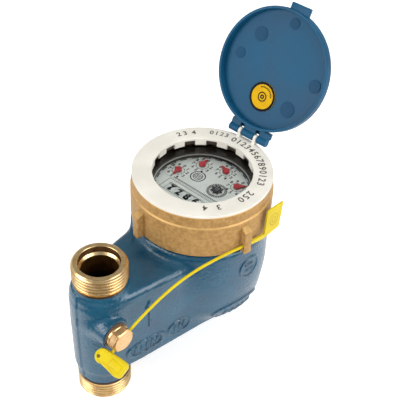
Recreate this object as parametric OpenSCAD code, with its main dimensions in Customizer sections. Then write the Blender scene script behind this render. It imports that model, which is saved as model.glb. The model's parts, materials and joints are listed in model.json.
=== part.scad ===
// Vertical water meter for a riser pipe: multi-jet, wet dial, hinged lid.
// Millimetres, +Z up along the pipe. The origin is the centre of the pipe's lower end face.
// +X runs from the pipe to the metering head, -Y is the side with the adjusting plug.

/* [Pipe] */
// Length of the pipe between its two end faces
pipe_len = 105; // [102:0.5:125]
// Radius over the G1B pipe thread
thread_r = 16.62; // [15.5:0.01:18]
// Length of each threaded end
thread_len = 13.5; // [12:0.5:14]
// Chamfer that leads into the thread
thread_chamfer = 1.4; // [0.8:0.1:2]
// Radius of the waterway in the pipe
bore_r = 11; // [9:0.1:11.4]
// How much wider than the waterway the gasket seat in each end face is
seat_step = 1.4; // [1:0.1:2]
// Depth of the gasket seat with its sloping ledge
seat_depth = 6; // [3:0.5:8]
// How far the plain collar behind each thread lies below the thread's crests
collar_step = 0.52; // [0.3:0.01:0.8]
// Length of the plain collar above the lower thread
low_collar = 8.5; // [6:0.5:10]
// Length of the plain collar below the upper thread
high_collar = 4.5; // [3.5:0.5:6]
// How far the cast barrel around the pipe stands out over the thread's crests
barrel_step = 0.88; // [0.5:0.02:2]

/* [Bowl] */
// Distance from the pipe's axis to the head's axis
head_x = 82; // [78:0.5:100]
// Outer radius of the bowl at its top
bowl_r = 43; // [41:0.1:47]
// How much narrower the bowl is where its side meets the rounded foot
bowl_taper = 2; // [0.5:0.1:3]
// Height of the bowl from its underside to its upper shoulder
bowl_h = 66; // [64:0.5:70]
// Rounding of the bowl's foot
bowl_foot_round = 18; // [12:0.5:20]
// Distance of the bowl's upper shoulder below the pipe's upper end
head_drop = 11; // [8:0.5:14]
// Wall thickness of the casting
wall = 5.5; // [4:0.1:6]
// How much narrower than the bowl the neck is on each side where the two meet
neck_in = 12; // [8:0.5:16]
// How far the bowl's threaded mouth is set in from its side
mouth_step = 3.7; // [3:0.1:5]
// Height of the threaded mouth above the shoulder
mouth_h = 17; // [14:0.5:20]
// Wall thickness of the mouth
mouth_wall = 3.8; // [3:0.1:4.5]

/* [Waterways] */
// Thickness of the floor under the lower waterway
duct_floor = 5; // [3.5:0.5:6]
// Height of the web between the lower waterway and the chamber's ledge
inlet_web = 6; // [5:0.5:9]
// Height of the upper waterway's floor above the chamber's ledge
outlet_up = 8; // [7:0.5:10]
// Height of the upper waterway
outlet_h = 9; // [7:0.5:9.5]
// Half width of the two waterways
duct_half = 12.5; // [10:0.5:13]
// Distance of the measuring chamber's ledge below the bowl's shoulder
ledge_down = 28; // [26:0.5:31]
// Width of that ledge
ledge_w = 8; // [6:0.5:9]

/* [Adjusting plug] */
// Place of the plug's axis along X
plug_x = -7.4; // [-8:0.1:-5]
// Height of the plug's axis against the chamber's ledge
plug_up = -0.3; // [-1:0.1:2]
// Radius of the cast boss behind the plug
boss_r = 9.3; // [8.6:0.1:10]
// How far the boss stands out of the barrel
boss_stand = 3.5; // [2.5:0.1:5]
// Width across the flats of the plug's hexagon head
plug_flats = 14; // [13:0.1:16]
// Thickness of the hexagon head
plug_head = 6.5; // [6:0.1:8]
// Thickness of the round collar under the hexagon
plug_collar_t = 1.8; // [1.2:0.1:2.2]
// How far that collar stands out over the flats
plug_collar_out = 0.9; // [0.7:0.1:1.5]
// Thickness of the washer under the head
washer_t = 1; // [0.8:0.1:1.5]
// Radius of the plug's threaded shank
plug_shank_r = 5; // [4.5:0.1:5.5]
// Radius of the adjusting screw
screw_r = 3.4; // [3:0.1:4]

/* [Measuring chamber] */
// Gap between the ledge and the strainer
screen_gap = 0.8; // [0.5:0.1:1.2]
// Thickness of the strainer's wall
screen_t = 1.2; // [1:0.1:1.6]
// Gap between the strainer and the measuring chamber
jacket_gap = 1.3; // [0.8:0.1:2]
// Wall of the measuring chamber
chamber_wall = 2.2; // [1.8:0.1:3]
// Depth of the chamber's floor below the ledge
chamber_depth = 22; // [20:0.5:24]
// Height of the chamber's upper rim above the ledge
chamber_rise = 22; // [20:0.5:25]
// Number of jets in each row of the chamber
jet_count = 10; // [8:1:12]
// Number of blades on the impeller
blade_count = 8; // [6:1:10]
// Gap between the impeller's blades and the chamber
tip_gap = 2.5; // [1.5:0.1:4]
// Radius of the impeller's spindle
spindle_r = 1.2; // [1:0.05:1.6]

/* [Register] */
// Wall of the register case
case_wall = 2.7; // [2:0.1:3.2]
// Depth of the dial's printed face below the case's rim
dial_sink = 1.2; // [0.9:0.1:2]
// Turn of the lid's hinge and the dial from the X axis
head_turn = 3.5; // [-10:0.5:15]
// Radius of a figure roller
roller_r = 5.5; // [4.5:0.1:5.7]
// Spacing of the figure rollers
roller_pitch = 6.45; // [5:0.05:6.8]
// Distance of the roller row below the dial's centre
roller_row = 12.5; // [11.5:0.1:15]
// Distance of the small pointers' circle from the dial's edge
pointer_in = 10.9; // [10.4:0.1:13]
// Angle between neighbouring pointers
pointer_step = 43.7; // [38:0.1:46]
// Angle of the first pointer from the dial's upright
pointer_start = -47; // [-50:0.5:-44]
// Radius of the pointers' and star wheel's arbors
arbor_r = 0.8; // [0.6:0.05:1]
// Radius of the star wheel
star_r = 5.2; // [4:0.1:5.6]

/* [Head] */
// Gap between the bowl's shoulder and the head ring
ring_gap = 2; // [1:0.1:4]
// Height of the head ring's lower and wider part
ring_skirt = 22; // [16:0.5:24]
// Wall thickness of the head ring around the mouth's thread
ring_wall = 4.1; // [3:0.1:6]
// How much narrower the head ring is above its step
ring_step_in = 0.9; // [0.4:0.1:1.5]
// Width of the head ring's inner flange over the glass
ring_lip = 6.1; // [5:0.1:7]
// Thickness of that flange
ring_flange_t = 2.4; // [2:0.1:4]
// Thickness of the sight glass
glass_t = 6; // [4:0.1:8]
// Gap between the sight glass and the head ring
glass_gap = 1; // [0.6:0.1:2]
// Thickness of the gasket under the glass
glass_gasket_t = 1.5; // [1:0.1:2]
// Thickness of the slip ring over the glass
slip_t = 1.5; // [1:0.1:2]
// How far each wrench lug stands out of the head ring
lug_out = 4.4; // [4:0.1:6]
// Width of a wrench lug
lug_w = 5; // [4:0.1:6]
// Direction of the drilled wrench lug
lug_turn = -99.9; // [-104:0.1:-94]
// Distance of a lug's top below the ring's step
lug_down = 3.2; // [0.5:0.1:5]
// Fall of a lug's top towards its outer face
lug_fall = 2.9; // [1:0.1:4]
// Thickness of the cover ring
cover_t = 1.6; // [1.2:0.1:2.5]
// How far the cover ring stands out over the head ring
cover_over = 0.05; // [0:0.05:0.5]
// Width of the cover ring
cover_rim = 12.25; // [11:0.05:13]
// Number of tabs that hang from the opening's edge
tab_count = 14; // [12:1:16]
// Gap between those tabs and the sight glass
tab_gap = 0.4; // [0.3:0.1:2]
// Turn of the first tab from the hinge
tab_turn = 17.7; // [10:0.1:24]

/* [Lid] */
// Angle at which the lid stands open
lid_open = 116.5; // [95:0.5:120]
// How far the lid's rim is set in from the cover ring's edge
lid_in = 4.45; // [4:0.05:6]
// Height of the closed lid
lid_h = 6.4; // [5:0.1:8]
// Thickness of the lid's plate and rim
lid_t = 2.2; // [1.6:0.1:2.6]
// How far the hinge stands out over the cover ring's edge
hinge_out = 0.55; // [0.4:0.05:2]
// Height of the hinge's axis above the cover ring
hinge_up = 3; // [2.8:0.1:3.4]
// Radius of the hinge knuckles
knuckle_r = 2.5; // [2.2:0.05:2.6]
// Radius of the hinge pin
pin_r = 1; // [0.8:0.05:1.2]
// Half spacing of the two hinge ears
ear_at = 6; // [5:0.1:8]
// Thickness of a hinge ear
ear_t = 2.2; // [1.8:0.1:3]
// Width of an outer knuckle of the lid
knuckle_w = 7; // [5:0.1:9]
// Width of the thumb tab
thumb_w = 14; // [10:0.5:18]
// How far the thumb tab stands out of the lid
thumb_out = 4; // [3:0.1:6]
// Place of the thumb tab beside the lid's middle line
thumb_at = 4; // [-6:0.5:6]
// Radius of the sticker inside the lid
label_r = 9.2; // [6:0.1:10]
// Distance of the sticker from the lid's centre, towards the hinge
label_at = 18.3; // [10:0.1:22]
// Place of the sticker beside the lid's middle line
label_side = -1; // [-4:0.1:4]

/* [Seal] */
// Radius of the seal's strap
strap_r = 0.9; // [0.7:0.05:1]
// Length of the seal's lock without its end ring
lock_len = 15; // [13:0.5:18]
// Width of the seal's lock at its wide end
lock_w = 11; // [10:0.5:13]
// Thickness of the seal's lock
lock_t = 5; // [4:0.1:6]
// Width of the flag at the strap's end
flag_w = 13.8; // [9:0.1:16]
// Length of the flag
flag_len = 21; // [15:0.5:25]
// Thickness of the flag
flag_t = 1.2; // [1:0.1:1.6]

/* [Fits] */
// Radial play of turning fits
play = 0.06; // [0.04:0.01:0.08]
// Gap between screwed or stacked parts
gap = 0.2; // [0.15:0.05:0.25]
// Gap between parts that swing past each other
swing_gap = 0.4; // [0.35:0.05:0.5]

/* [Hidden] */
$fn = 64;

brass = [0.72, 0.56, 0.3];
blue = [0.16, 0.36, 0.5];
black = [0.06, 0.06, 0.06];
white = [0.92, 0.91, 0.88];
yellow = [0.96, 0.86, 0.1];
grey = [0.62, 0.64, 0.66];
red = [0.72, 0.1, 0.12];

roller_count = 5;

seat_r = bore_r + seat_step;
collar_r = thread_r - collar_step;
barrel_r = thread_r + barrel_step;
barrel_low = thread_len + low_collar;
barrel_high = pipe_len - thread_len - high_collar;

bowl_foot_r = bowl_r - bowl_taper;
bowl_top = pipe_len - head_drop;
bowl_low = bowl_top - bowl_h;
neck_r = bowl_r - neck_in;
mouth_r = bowl_r - mouth_step;
mouth_top = bowl_top + mouth_h;
mouth_bore_r = mouth_r - mouth_wall;
cavity_r = bowl_r - wall;
floor_top = bowl_low + wall;
ledge_top = bowl_top - ledge_down;
ledge_r = cavity_r - ledge_w;
inlet_low = max(bowl_low, barrel_low) + duct_floor;
inlet_top = ledge_top - inlet_web;
outlet_low = ledge_top + outlet_up;
outlet_top = outlet_low + outlet_h;
duct_end = head_x - ledge_r;

plug_z = ledge_top + plug_up;
boss_out = barrel_r + boss_stand;
head_low = boss_out + washer_t;
shank_end = boss_out - 7;

gasket_t = 1;
flange_low = ledge_top + gasket_t;
flange_t = 3;
flange_r = cavity_r - 1.5;
screen_r = ledge_r - screen_gap;
chamber_out = screen_r - screen_t - jacket_gap;
chamber_r = chamber_out - chamber_wall;
chamber_low = ledge_top - chamber_depth;
chamber_top = ledge_top + chamber_rise;
impeller_r = chamber_r - tip_gap;
pivot_r = 1.2;
pivot_tip_r = 0.9;
jet_low = chamber_low + 8;
jet_h = 8;
jet_w = 3;
port_low = flange_low + flange_t + 2;

cover_plate_t = 4;
case_low = chamber_top + cover_plate_t;
case_floor = case_low + 6;
case_floor_t = 2;
case_flange_t = 3;
case_top = mouth_top + case_flange_t;
case_bore_r = mouth_bore_r - gap - case_wall;
dial_top = case_top - dial_sink;
dial_t = 1;
dial_r = case_bore_r - gap;
roller_z = dial_top - 0.7 - roller_r;
roller_w = roller_pitch - 0.5;
roller_mid = -0.9;
pointer_ring_r = dial_r - pointer_in;
pinion_teeth = 12;
wheel_teeth = 36;
star_d = 9.6;
star_angle = -66;
star_pos = star_d * [-sin(star_angle), cos(star_angle)];
pointer_pos = [for (i = [0:3]) pointer_ring_r * [
    -sin(pointer_start + i * pointer_step), cos(pointer_start + i * pointer_step)]];
first_d = norm(pointer_pos[0] - star_pos);
train_module = 2 * star_d / (pinion_teeth + wheel_teeth);
second_module = 2 * first_d / (pinion_teeth + wheel_teeth);
wheel_t = 1.6;
train_z = case_floor + case_floor_t + 0.8;
second_z = train_z + wheel_t + 0.6;

ring_bore_r = mouth_r + gap;
ring_low = bowl_top + ring_gap;
ring_step = ring_low + ring_skirt;
ring_r = ring_bore_r + ring_wall;
ring_top_r = ring_r - ring_step_in;
ring_eye_r = ring_bore_r - ring_lip;
glass_r = ring_bore_r - glass_gap;
glass_low = case_top + glass_gasket_t;
glass_top = glass_low + glass_t;
slip_top = glass_top + slip_t;
ring_top = slip_top + ring_flange_t;
lug_r = ring_r + lug_out;
lug_top = ring_step - lug_down;
cover_top = ring_top + cover_t;
cover_r = ring_top_r + cover_over;
cover_hole_r = cover_r - cover_rim;
tab_t = 1.6;
tab_low = glass_top + tab_gap;
slip_collar_t = 0.8;
tab_w = 12.8;

lid_r = cover_r - lid_in;
lid_low = cover_top + 0.3;
lid_high = lid_low + lid_h;
hinge_r = cover_r + hinge_out;
hinge_z = cover_top + hinge_up;
apron_low = hinge_z + knuckle_r - 0.2 + swing_gap;

strap_hole_r = strap_r + 0.7;
plug_mid = [plug_x, -head_low - (plug_collar_t + plug_head) / 2, plug_z];
lug_hole_r = ring_r + 1.9;
lug_hole = [head_x + lug_hole_r * cos(lug_turn), lug_hole_r * sin(lug_turn), ring_low + 4.6];

// Straight run of the strap, out of the lock and through the plug's head
strap_slope = 33;
strap_run = [cos(strap_slope), 0, sin(strap_slope)];
strap_pass = plug_mid - [0, 0, 1.3];
strap_in = strap_pass - 11 * strap_run;

// Free run of the strap, a smooth curve from the plug to the lug
free_from = strap_pass + 7.5 * strap_run;
free_pull = plug_mid + [42.1, -1.7, 22.6];
free_turn = lug_hole + [-29.3, 8.9, -4.5];
free_steps = 14;
free_run = [for (i = [0:free_steps]) let (t = i / free_steps, s = 1 - t)
    s * s * s * free_from + 3 * s * s * t * free_pull + 3 * s * t * t * free_turn + t * t * t * lug_hole];
strap_route = concat([strap_in, strap_pass], free_run, [lug_hole + [lug_w / 2 + 1.6, -0.9, 0.2]]);

// Puts its children in the head's frame, local Y towards the hinge, local X to the reader's right
module at_head() {
    translate([head_x, 0, 0]) rotate([0, 0, head_turn - 90]) children();
}

// Plain ring between two heights
module ring(r_out, r_in, low, high) {
    translate([0, 0, low]) difference() {
        cylinder(r = r_out, h = high - low);
        translate([0, 0, -1]) cylinder(r = r_in, h = high - low + 2);
    }
}

// Points of a quarter round from one angle to another
function arc(mid, r, from, to, steps) =
    [for (i = [0:steps]) let (a = from + (to - from) * i / steps) mid + r * [cos(a), sin(a)]];

// Upright drum with rounded edges, used as one end of the neck
module rounded_drum(r, low, high, edge) {
    rotate_extrude($fn = 32) polygon(concat(
        [[0, low]],
        arc([r - edge, low + edge], edge, -90, 0, 4),
        arc([r - edge, high - edge], edge, 0, 90, 4),
        [[0, high]]));
}

// Spur wheel with flat flanks and ample backlash, one tooth centred on the local X axis
module spur(teeth, module_size, thickness, phase) {
    root = module_size * (teeth / 2 - 1.25);
    tip = module_size * (teeth / 2 + 0.8);
    pitch = 360 / teeth;
    linear_extrude(thickness) polygon([for (i = [0:teeth - 1], k = [0:3])
        let (a = phase + pitch * (i + [-0.27, -0.1, 0.1, 0.27][k]), r = [root, tip, tip, root][k])
        r * [cos(a), sin(a)]]);
}

// Outline of the bowl, from its underside to its threaded mouth
function bowl_outline() = concat(
    [[0, bowl_low]],
    arc([bowl_foot_r - bowl_foot_round, bowl_low + bowl_foot_round], bowl_foot_round, -90, 0, 6),
    [[bowl_r, bowl_top - 12]],
    arc([bowl_r - 2.5, bowl_top - 2.5], 2.5, 0, 90, 3),
    [[mouth_r, bowl_top], [mouth_r, mouth_top], [0, mouth_top]]);

// Hollow of the bowl, with the ledge left standing for the measuring chamber
function bowl_hollow() = concat(
    [[0, floor_top]],
    arc([bowl_foot_r - bowl_foot_round, bowl_low + bowl_foot_round], bowl_foot_round - wall, -90, 0, 4),
    [[bowl_foot_r - wall, ledge_top - 5], [ledge_r, ledge_top - 4], [ledge_r, ledge_top],
     [cavity_r, ledge_top], [cavity_r, bowl_top - 10], [mouth_bore_r, bowl_top - 6],
     [mouth_bore_r, mouth_top + 1], [0, mouth_top + 1]]);

// Waterway through the neck: a box with its long edges cut off
module duct(low, high, from_x) {
    cut = 3;
    translate([from_x, 0, 0]) rotate([90, 0, 90]) linear_extrude(duct_end - from_x + 8) polygon([
        [cut - duct_half, low], [duct_half - cut, low], [duct_half, low + cut], [duct_half, high - cut],
        [duct_half - cut, high], [cut - duct_half, high], [-duct_half, high - cut], [-duct_half, low + cut]]);
}

// Threaded end of the pipe, seen from its end face at z = 0
module pipe_end(length) {
    rotate_extrude() polygon([
        [0, 0], [thread_r - thread_chamfer, 0], [thread_r, thread_chamfer], [thread_r, thread_len],
        [collar_r, thread_len + 0.6], [collar_r, length], [0, length]]);
}

// Waterway and gasket seat of one pipe end, up to the given height
module pipe_bore(length) {
    rotate_extrude() polygon([
        [0, -1], [seat_r, -1], [seat_r, seat_depth - seat_step], [bore_r, seat_depth], [bore_r, length],
        [0, length]]);
}

// Cast brass body: pipe, neck, bowl and the boss of the adjusting plug, with both waterways
module meter_body() {
    color(blue) difference() {
        union() {
            hull() {
                rounded_drum(barrel_r, barrel_low, barrel_high, 4);
                translate([head_x, 0, 0]) rounded_drum(neck_r, bowl_low + 2, barrel_high + 2, 6);
            }
            translate([head_x, 0, 0]) rotate_extrude() polygon(bowl_outline());
            pipe_end(barrel_low + 10);
            translate([0, 0, pipe_len]) mirror([0, 0, 1]) pipe_end(pipe_len - barrel_high + 10);
            translate([plug_x, 0, plug_z]) rotate([90, 0, 0]) cylinder(r = boss_r, h = boss_out);
        }
        translate([head_x, 0, 0]) rotate_extrude() polygon(bowl_hollow());
        pipe_bore(inlet_top - 1);
        translate([0, 0, pipe_len]) mirror([0, 0, 1]) pipe_bore(pipe_len - outlet_low - 1);
        duct(inlet_low, inlet_top, 0);
        duct(outlet_low, outlet_top, 0);
        translate([plug_x, 1, plug_z]) rotate([90, 0, 0]) cylinder(r = screw_r + play, h = boss_out + 2);
        translate([plug_x, 1 - shank_end, plug_z]) rotate([90, 0, 0])
            cylinder(r = plug_shank_r + play, h = boss_out);
        translate([plug_x + 1, -2.5, inlet_top - 4]) cylinder(r = 1.8, h = outlet_low - inlet_top + 8);
    }
}

// Plastic strainer around the chamber's jets, hung from the chamber's flange
module strainer_basket() {
    slots = 24;
    low = floor_top + 3;
    color(grey) translate([head_x, 0, 0]) difference() {
        ring(screen_r, screen_r - screen_t, low, flange_low);
        for (i = [0:slots - 1]) rotate([0, 0, i * 360 / slots])
            translate([screen_r - 3, -1, low + 4]) cube([6, 2, ledge_top - low - 11]);
    }
}

// Plastic measuring chamber with its row of slanted jets below and ports above the flange
module measuring_chamber() {
    floor_high = chamber_low + 3;
    color(white) translate([head_x, 0, 0]) difference() {
        rotate_extrude() polygon([
            [pivot_r, chamber_low], [chamber_out, chamber_low], [chamber_out, flange_low],
            [flange_r, flange_low], [flange_r, flange_low + flange_t], [chamber_out, flange_low + flange_t],
            [chamber_out, chamber_top], [chamber_r, chamber_top], [chamber_r, floor_high],
            [pivot_r, floor_high]]);
        for (i = [0:jet_count - 1]) rotate([0, 0, i * 360 / jet_count]) {
            translate([chamber_r - 7, -2, jet_low]) rotate([0, 0, 35])
                translate([0, -2, 0]) cube([20, jet_w, jet_h]);
            translate([chamber_r - 7, 2, port_low]) rotate([0, 0, -35])
                translate([0, -1, 0]) cube([20, jet_w, jet_h]);
        }
    }
}

// Rubber gasket between the chamber's flange and the body's ledge
module chamber_gasket() {
    color(black) translate([head_x, 0, 0]) ring(flange_r, ledge_r + 0.5, ledge_top, flange_low);
}

// Hard steel pin in the chamber's floor that carries the impeller
module pivot_pin() {
    color(grey) translate([head_x, 0, chamber_low - 1]) {
        cylinder(r = pivot_r, h = 4);
        cylinder(r = pivot_tip_r, h = 9);
    }
}

// Plastic plate that closes the chamber and guides the impeller's spindle
module chamber_cover() {
    color(white) translate([head_x, 0, 0]) difference() {
        union() {
            ring(mouth_bore_r - gap, spindle_r + play, chamber_top, case_low);
            ring(chamber_r - gap, chamber_r - 2, chamber_top - 2, chamber_top + 1);
        }
        for (i = [0:5]) rotate([0, 0, i * 60]) translate([14, 0, chamber_top - 1]) cylinder(r = 2.5, h = 8);
    }
}

// Plastic impeller with its spindle and the pinion that drives the star wheel
module impeller() {
    hub_low = chamber_low + 5;
    blade_low = jet_low - 1;
    blade_h = port_low + jet_h - blade_low;
    color(white) translate([head_x, 0, 0]) {
        difference() {
            union() {
                translate([0, 0, hub_low]) cylinder(r = 4, h = blade_low + blade_h - hub_low);
                for (i = [0:blade_count - 1]) rotate([0, 0, i * 360 / blade_count])
                    translate([3, -0.8, blade_low]) cube([impeller_r - 3, 1.6, blade_h]);
                translate([0, 0, hub_low + 10]) cylinder(r = spindle_r, h = train_z - hub_low - 9);
            }
            translate([0, 0, hub_low - 1]) cylinder(r = pivot_tip_r + play, h = 5);
        }
        rotate([0, 0, head_turn + star_angle]) translate([0, 0, train_z])
            spur(pinion_teeth, train_module, wheel_t, 0);
    }
}

// Black plastic register case: cup, flange and the two cheeks of the roller axle
module register_case() {
    cheek_t = 1.6;
    cheek_at = 2.5 * roller_pitch + 0.5;
    floor_high = case_floor + case_floor_t;
    color(black) at_head() difference() {
        union() {
            rotate_extrude() polygon([
                [spindle_r + play, case_floor], [mouth_bore_r - 2.5, case_floor],
                [mouth_bore_r - 2.5, case_low],
                [mouth_bore_r - gap, case_low], [mouth_bore_r - gap, mouth_top], [mouth_r - 0.5, mouth_top],
                [mouth_r - 0.5, case_top], [case_bore_r, case_top], [case_bore_r, floor_high],
                [spindle_r + play, floor_high]]);
            ring(case_bore_r + 1, case_bore_r - 1.2, dial_top - dial_t - 1.5, dial_top - dial_t);
            for (side = [-1, 1])
                translate([roller_mid + side * (cheek_at + cheek_t / 2) - cheek_t / 2, -roller_row - 2.5,
                    floor_high - 1])
                    cube([cheek_t, 5, roller_z + 2.5 - floor_high + 1]);
        }
        translate([roller_mid - 25, -roller_row, roller_z]) rotate([0, 90, 0]) cylinder(r = pin_r, h = 50);
        for (p = concat([star_pos], pointer_pos))
            translate([p[0], p[1], case_floor - 1]) cylinder(r = arbor_r + play, h = 6);
    }
}

// Steel axle of the figure rollers, held in the case's cheeks
module roller_axle() {
    axle_len = 5 * roller_pitch + 4;
    color(grey) at_head() translate([roller_mid - axle_len / 2, -roller_row, roller_z])
        rotate([0, 90, 0]) cylinder(r = pin_r, h = axle_len);
}

// Figure roller, counted from the reader's right
module roller(index) {
    along = roller_mid + (3 - index) * roller_pitch;
    color(white) at_head() translate([along - roller_w / 2, -roller_row, roller_z]) rotate([0, 90, 0])
        difference() {
            cylinder(r = roller_r, h = roller_w);
            translate([0, 0, -1]) cylinder(r = pin_r + play, h = roller_w + 2);
            translate([0, 0, -1]) ring(roller_r - 1.2, 2.4, 0, 2.4);
        }
}

// Star wheel over the dial that shows the smallest flow, with its wheel and pinion in the train
module star_wheel() {
    points = 8;
    mesh_turn = 180 / wheel_teeth;
    color([0.2, 0.2, 0.22]) at_head() translate([star_pos[0], star_pos[1], 0]) {
        translate([0, 0, dial_top + 0.5]) linear_extrude(0.9) polygon([for (i = [0:2 * points - 1])
            (i % 2 == 0 ? star_r : star_r * 0.62) * [cos(i * 180 / points), sin(i * 180 / points)]]);
        translate([0, 0, case_floor + 0.3]) cylinder(r = arbor_r, h = dial_top + 1 - case_floor);
        rotate([0, 0, star_angle + 90 + 180 + mesh_turn]) translate([0, 0, train_z])
            spur(wheel_teeth, train_module, wheel_t, 0);
        rotate([0, 0, first_turn()]) translate([0, 0, second_z])
            spur(pinion_teeth, second_module, wheel_t, 0);
    }
}

// Direction from the star wheel to the first pointer
function first_turn() = atan2(pointer_pos[0][1] - star_pos[1], pointer_pos[0][0] - star_pos[0]);

// Small red pointer on its arbor; the first one carries the wheel that the star wheel drives
module pointer(index) {
    pos = pointer_pos[index - 1];
    aim = atan2(pos[1], pos[0]) + [0, 70, -35, 100][index - 1];
    color(red) at_head() translate([pos[0], pos[1], 0]) {
        translate([0, 0, dial_top + 0.6]) {
            cylinder(r = 2.3, h = 0.9);
            rotate([0, 0, aim]) linear_extrude(0.8) polygon([[0, -1.5], [5.2, -0.4], [5.2, 0.4], [0, 1.5]]);
        }
        translate([0, 0, case_floor + 0.3]) cylinder(r = arbor_r, h = dial_top + 1 - case_floor);
        if (index == 1) rotate([0, 0, first_turn() + 180 + 180 / wheel_teeth]) translate([0, 0, second_z])
            spur(wheel_teeth, second_module, wheel_t, 0);
    }
}

// Printed dial plate with a raised rim, the rollers' window and the holes of the arbors
module dial_plate() {
    window_w = 5 * roller_pitch + 0.4;
    window_h = 6.6;
    color(white) at_head() difference() {
        union() {
            translate([0, 0, dial_top - dial_t]) cylinder(r = dial_r, h = dial_t);
            ring(dial_r - 2.2, dial_r - 2.8, dial_top - dial_t / 2, glass_low - 0.3);
        }
        translate([roller_mid - window_w / 2, -roller_row - window_h / 2, dial_top - dial_t - 1])
            cube([window_w, window_h, dial_t + 2]);
        for (p = concat([star_pos], pointer_pos))
            translate([p[0], p[1], dial_top - dial_t - 1]) cylinder(r = arbor_r + play, h = dial_t + 2);
    }
}

// Rubber gasket under the sight glass
module glass_gasket() {
    color(black) translate([head_x, 0, 0]) ring(glass_r, dial_r - 1.8, case_top, glass_low);
}

// Thick sight glass
module sight_glass() {
    color([0.8, 0.9, 0.9, 0.4]) translate([head_x, 0, glass_low]) cylinder(r = glass_r, h = glass_t);
}

// Black slip ring between the glass and the head ring, with a collar inside the ring's eye
module slip_ring() {
    out = ring_eye_r - gap;
    color(black) translate([head_x, 0, 0]) rotate_extrude() polygon([
        [out - slip_collar_t, glass_top], [glass_r, glass_top], [glass_r, slip_top], [out, slip_top],
        [out, ring_top - gap], [out - slip_collar_t, ring_top - gap]]);
}

// Cast brass head ring, screwed on the bowl's mouth, with four wrench lugs
module head_ring() {
    color(brass) translate([head_x, 0, 0]) difference() {
        union() {
            rotate_extrude() polygon([
                [ring_bore_r, ring_low], [ring_r - 0.5, ring_low], [ring_r, ring_low + 0.8],
                [ring_r, ring_step], [ring_top_r, ring_step], [ring_top_r, ring_top],
                [ring_eye_r, ring_top], [ring_eye_r, slip_top], [ring_bore_r, slip_top]]);
            for (i = [0:3]) rotate([0, 0, lug_turn + i * 90]) rotate([90, 0, 0])
                translate([0, 0, -lug_w / 2]) linear_extrude(lug_w) polygon([
                    [ring_bore_r + 2, ring_low], [lug_r, ring_low], [lug_r, lug_top - lug_fall],
                    [ring_r, lug_top], [ring_bore_r + 2, lug_top]]);
        }
        rotate([0, 0, lug_turn]) translate([lug_hole_r, lug_w, lug_hole[2]]) rotate([90, 0, 0])
            cylinder(r = strap_hole_r, h = 2 * lug_w);
    }
}

// White plastic cover ring with hanging tabs and the two ears of the lid's hinge
module cover_ring() {
    color(white) at_head() difference() {
        union() {
            ring(cover_r, cover_hole_r, ring_top, cover_top);
            intersection() {
                ring(cover_hole_r + tab_t, cover_hole_r, tab_low, ring_top + 0.5);
                for (i = [0:tab_count - 1]) rotate([0, 0, 90 + tab_turn + i * 360 / tab_count - tab_w / 2])
                    linear_extrude(cover_top) polygon(cover_r * [[0, 0], [1, 0], [cos(tab_w), sin(tab_w)]]);
            }
            for (side = [-1, 1]) translate([side * ear_at - ear_t / 2, 0, 0]) {
                translate([0, cover_r - 4, ring_top])
                    cube([ear_t, hinge_out + 4 + knuckle_r * 0.7, hinge_z - ring_top]);
                translate([0, hinge_r, hinge_z]) rotate([0, 90, 0]) cylinder(r = knuckle_r - 0.2, h = ear_t);
            }
        }
        translate([-20, hinge_r, hinge_z]) rotate([0, 90, 0]) cylinder(r = pin_r, h = 40);
    }
}

// Steel pin of the lid's hinge, held in the cover ring's ears
module hinge_pin() {
    half = ear_at + ear_t / 2 + swing_gap + knuckle_w - 0.8;
    color(grey) at_head() translate([-half, hinge_r, hinge_z]) rotate([0, 90, 0])
        cylinder(r = pin_r, h = 2 * half);
}

// Puts a part of the closed lid at the angle at which the lid stands open
module opened() {
    at_head() translate([0, hinge_r, hinge_z]) rotate([-lid_open, 0, 0])
        translate([0, -hinge_r, -hinge_z]) children();
}

// Blue plastic lid: shallow cap with a rim, three knuckles joined by an apron, and a thumb tab
module lid() {
    inner = lid_r - lid_t;
    mid_w = 2 * (ear_at - ear_t / 2 - swing_gap);
    out_at = ear_at + ear_t / 2 + swing_gap;
    color(blue) opened() difference() {
        union() {
            rotate_extrude() polygon([
                [0, lid_high - lid_t], [inner - 1, lid_high - lid_t], [inner, lid_high - lid_t - 1],
                [inner, lid_low], [lid_r, lid_low], [lid_r, lid_high - 2], [lid_r - 2, lid_high],
                [0, lid_high]]);
            translate([thumb_at - thumb_w / 2, -lid_r - thumb_out, lid_low + 1])
                cube([thumb_w, thumb_out + lid_t, lid_t]);
            translate([-mid_w / 2, 0, 0]) knuckle(mid_w);
            translate([out_at, 0, 0]) knuckle(knuckle_w);
            translate([-out_at - knuckle_w, 0, 0]) knuckle(knuckle_w);
            translate([-out_at, lid_r - 3.2, apron_low]) cube([2 * out_at, hinge_r - lid_r + 1, 1]);
        }
        translate([-20, hinge_r, hinge_z]) rotate([0, 90, 0]) cylinder(r = pin_r + play, h = 40);
    }
}

// One knuckle of the closed lid with the web that joins it to the rim
module knuckle(width) {
    translate([0, hinge_r, hinge_z]) rotate([0, 90, 0]) cylinder(r = knuckle_r, h = width);
    translate([0, lid_r - 3.2, hinge_z - 0.6]) cube([width, hinge_r - lid_r + 3.2, knuckle_r + 0.4]);
    translate([0, lid_r - 3.2, hinge_z]) cube([width, hinge_r - lid_r + 1, apron_low + 1 - hinge_z]);
}

// Round sticker on the inside of the lid
module lid_label() {
    color(yellow) opened() translate([label_side, label_at, lid_high - lid_t - 0.3])
        cylinder(r = label_r, h = 0.3);
}

// Brass adjusting screw in the bypass between the two waterways
module adjusting_screw() {
    color(brass) translate([plug_x, 0, plug_z]) rotate([90, 0, 0]) difference() {
        cylinder(r = screw_r, h = shank_end - 1.4);
        translate([-5, -0.5, shank_end - 2.6]) cube([10, 1, 3]);
    }
}

// Sealing washer under the plug's head
module plug_washer() {
    color([0.55, 0.3, 0.2]) translate([plug_x, 0, plug_z]) rotate([90, 0, 0])
        ring(plug_flats / 2 + 1, plug_shank_r + play, boss_out, head_low);
}

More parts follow.
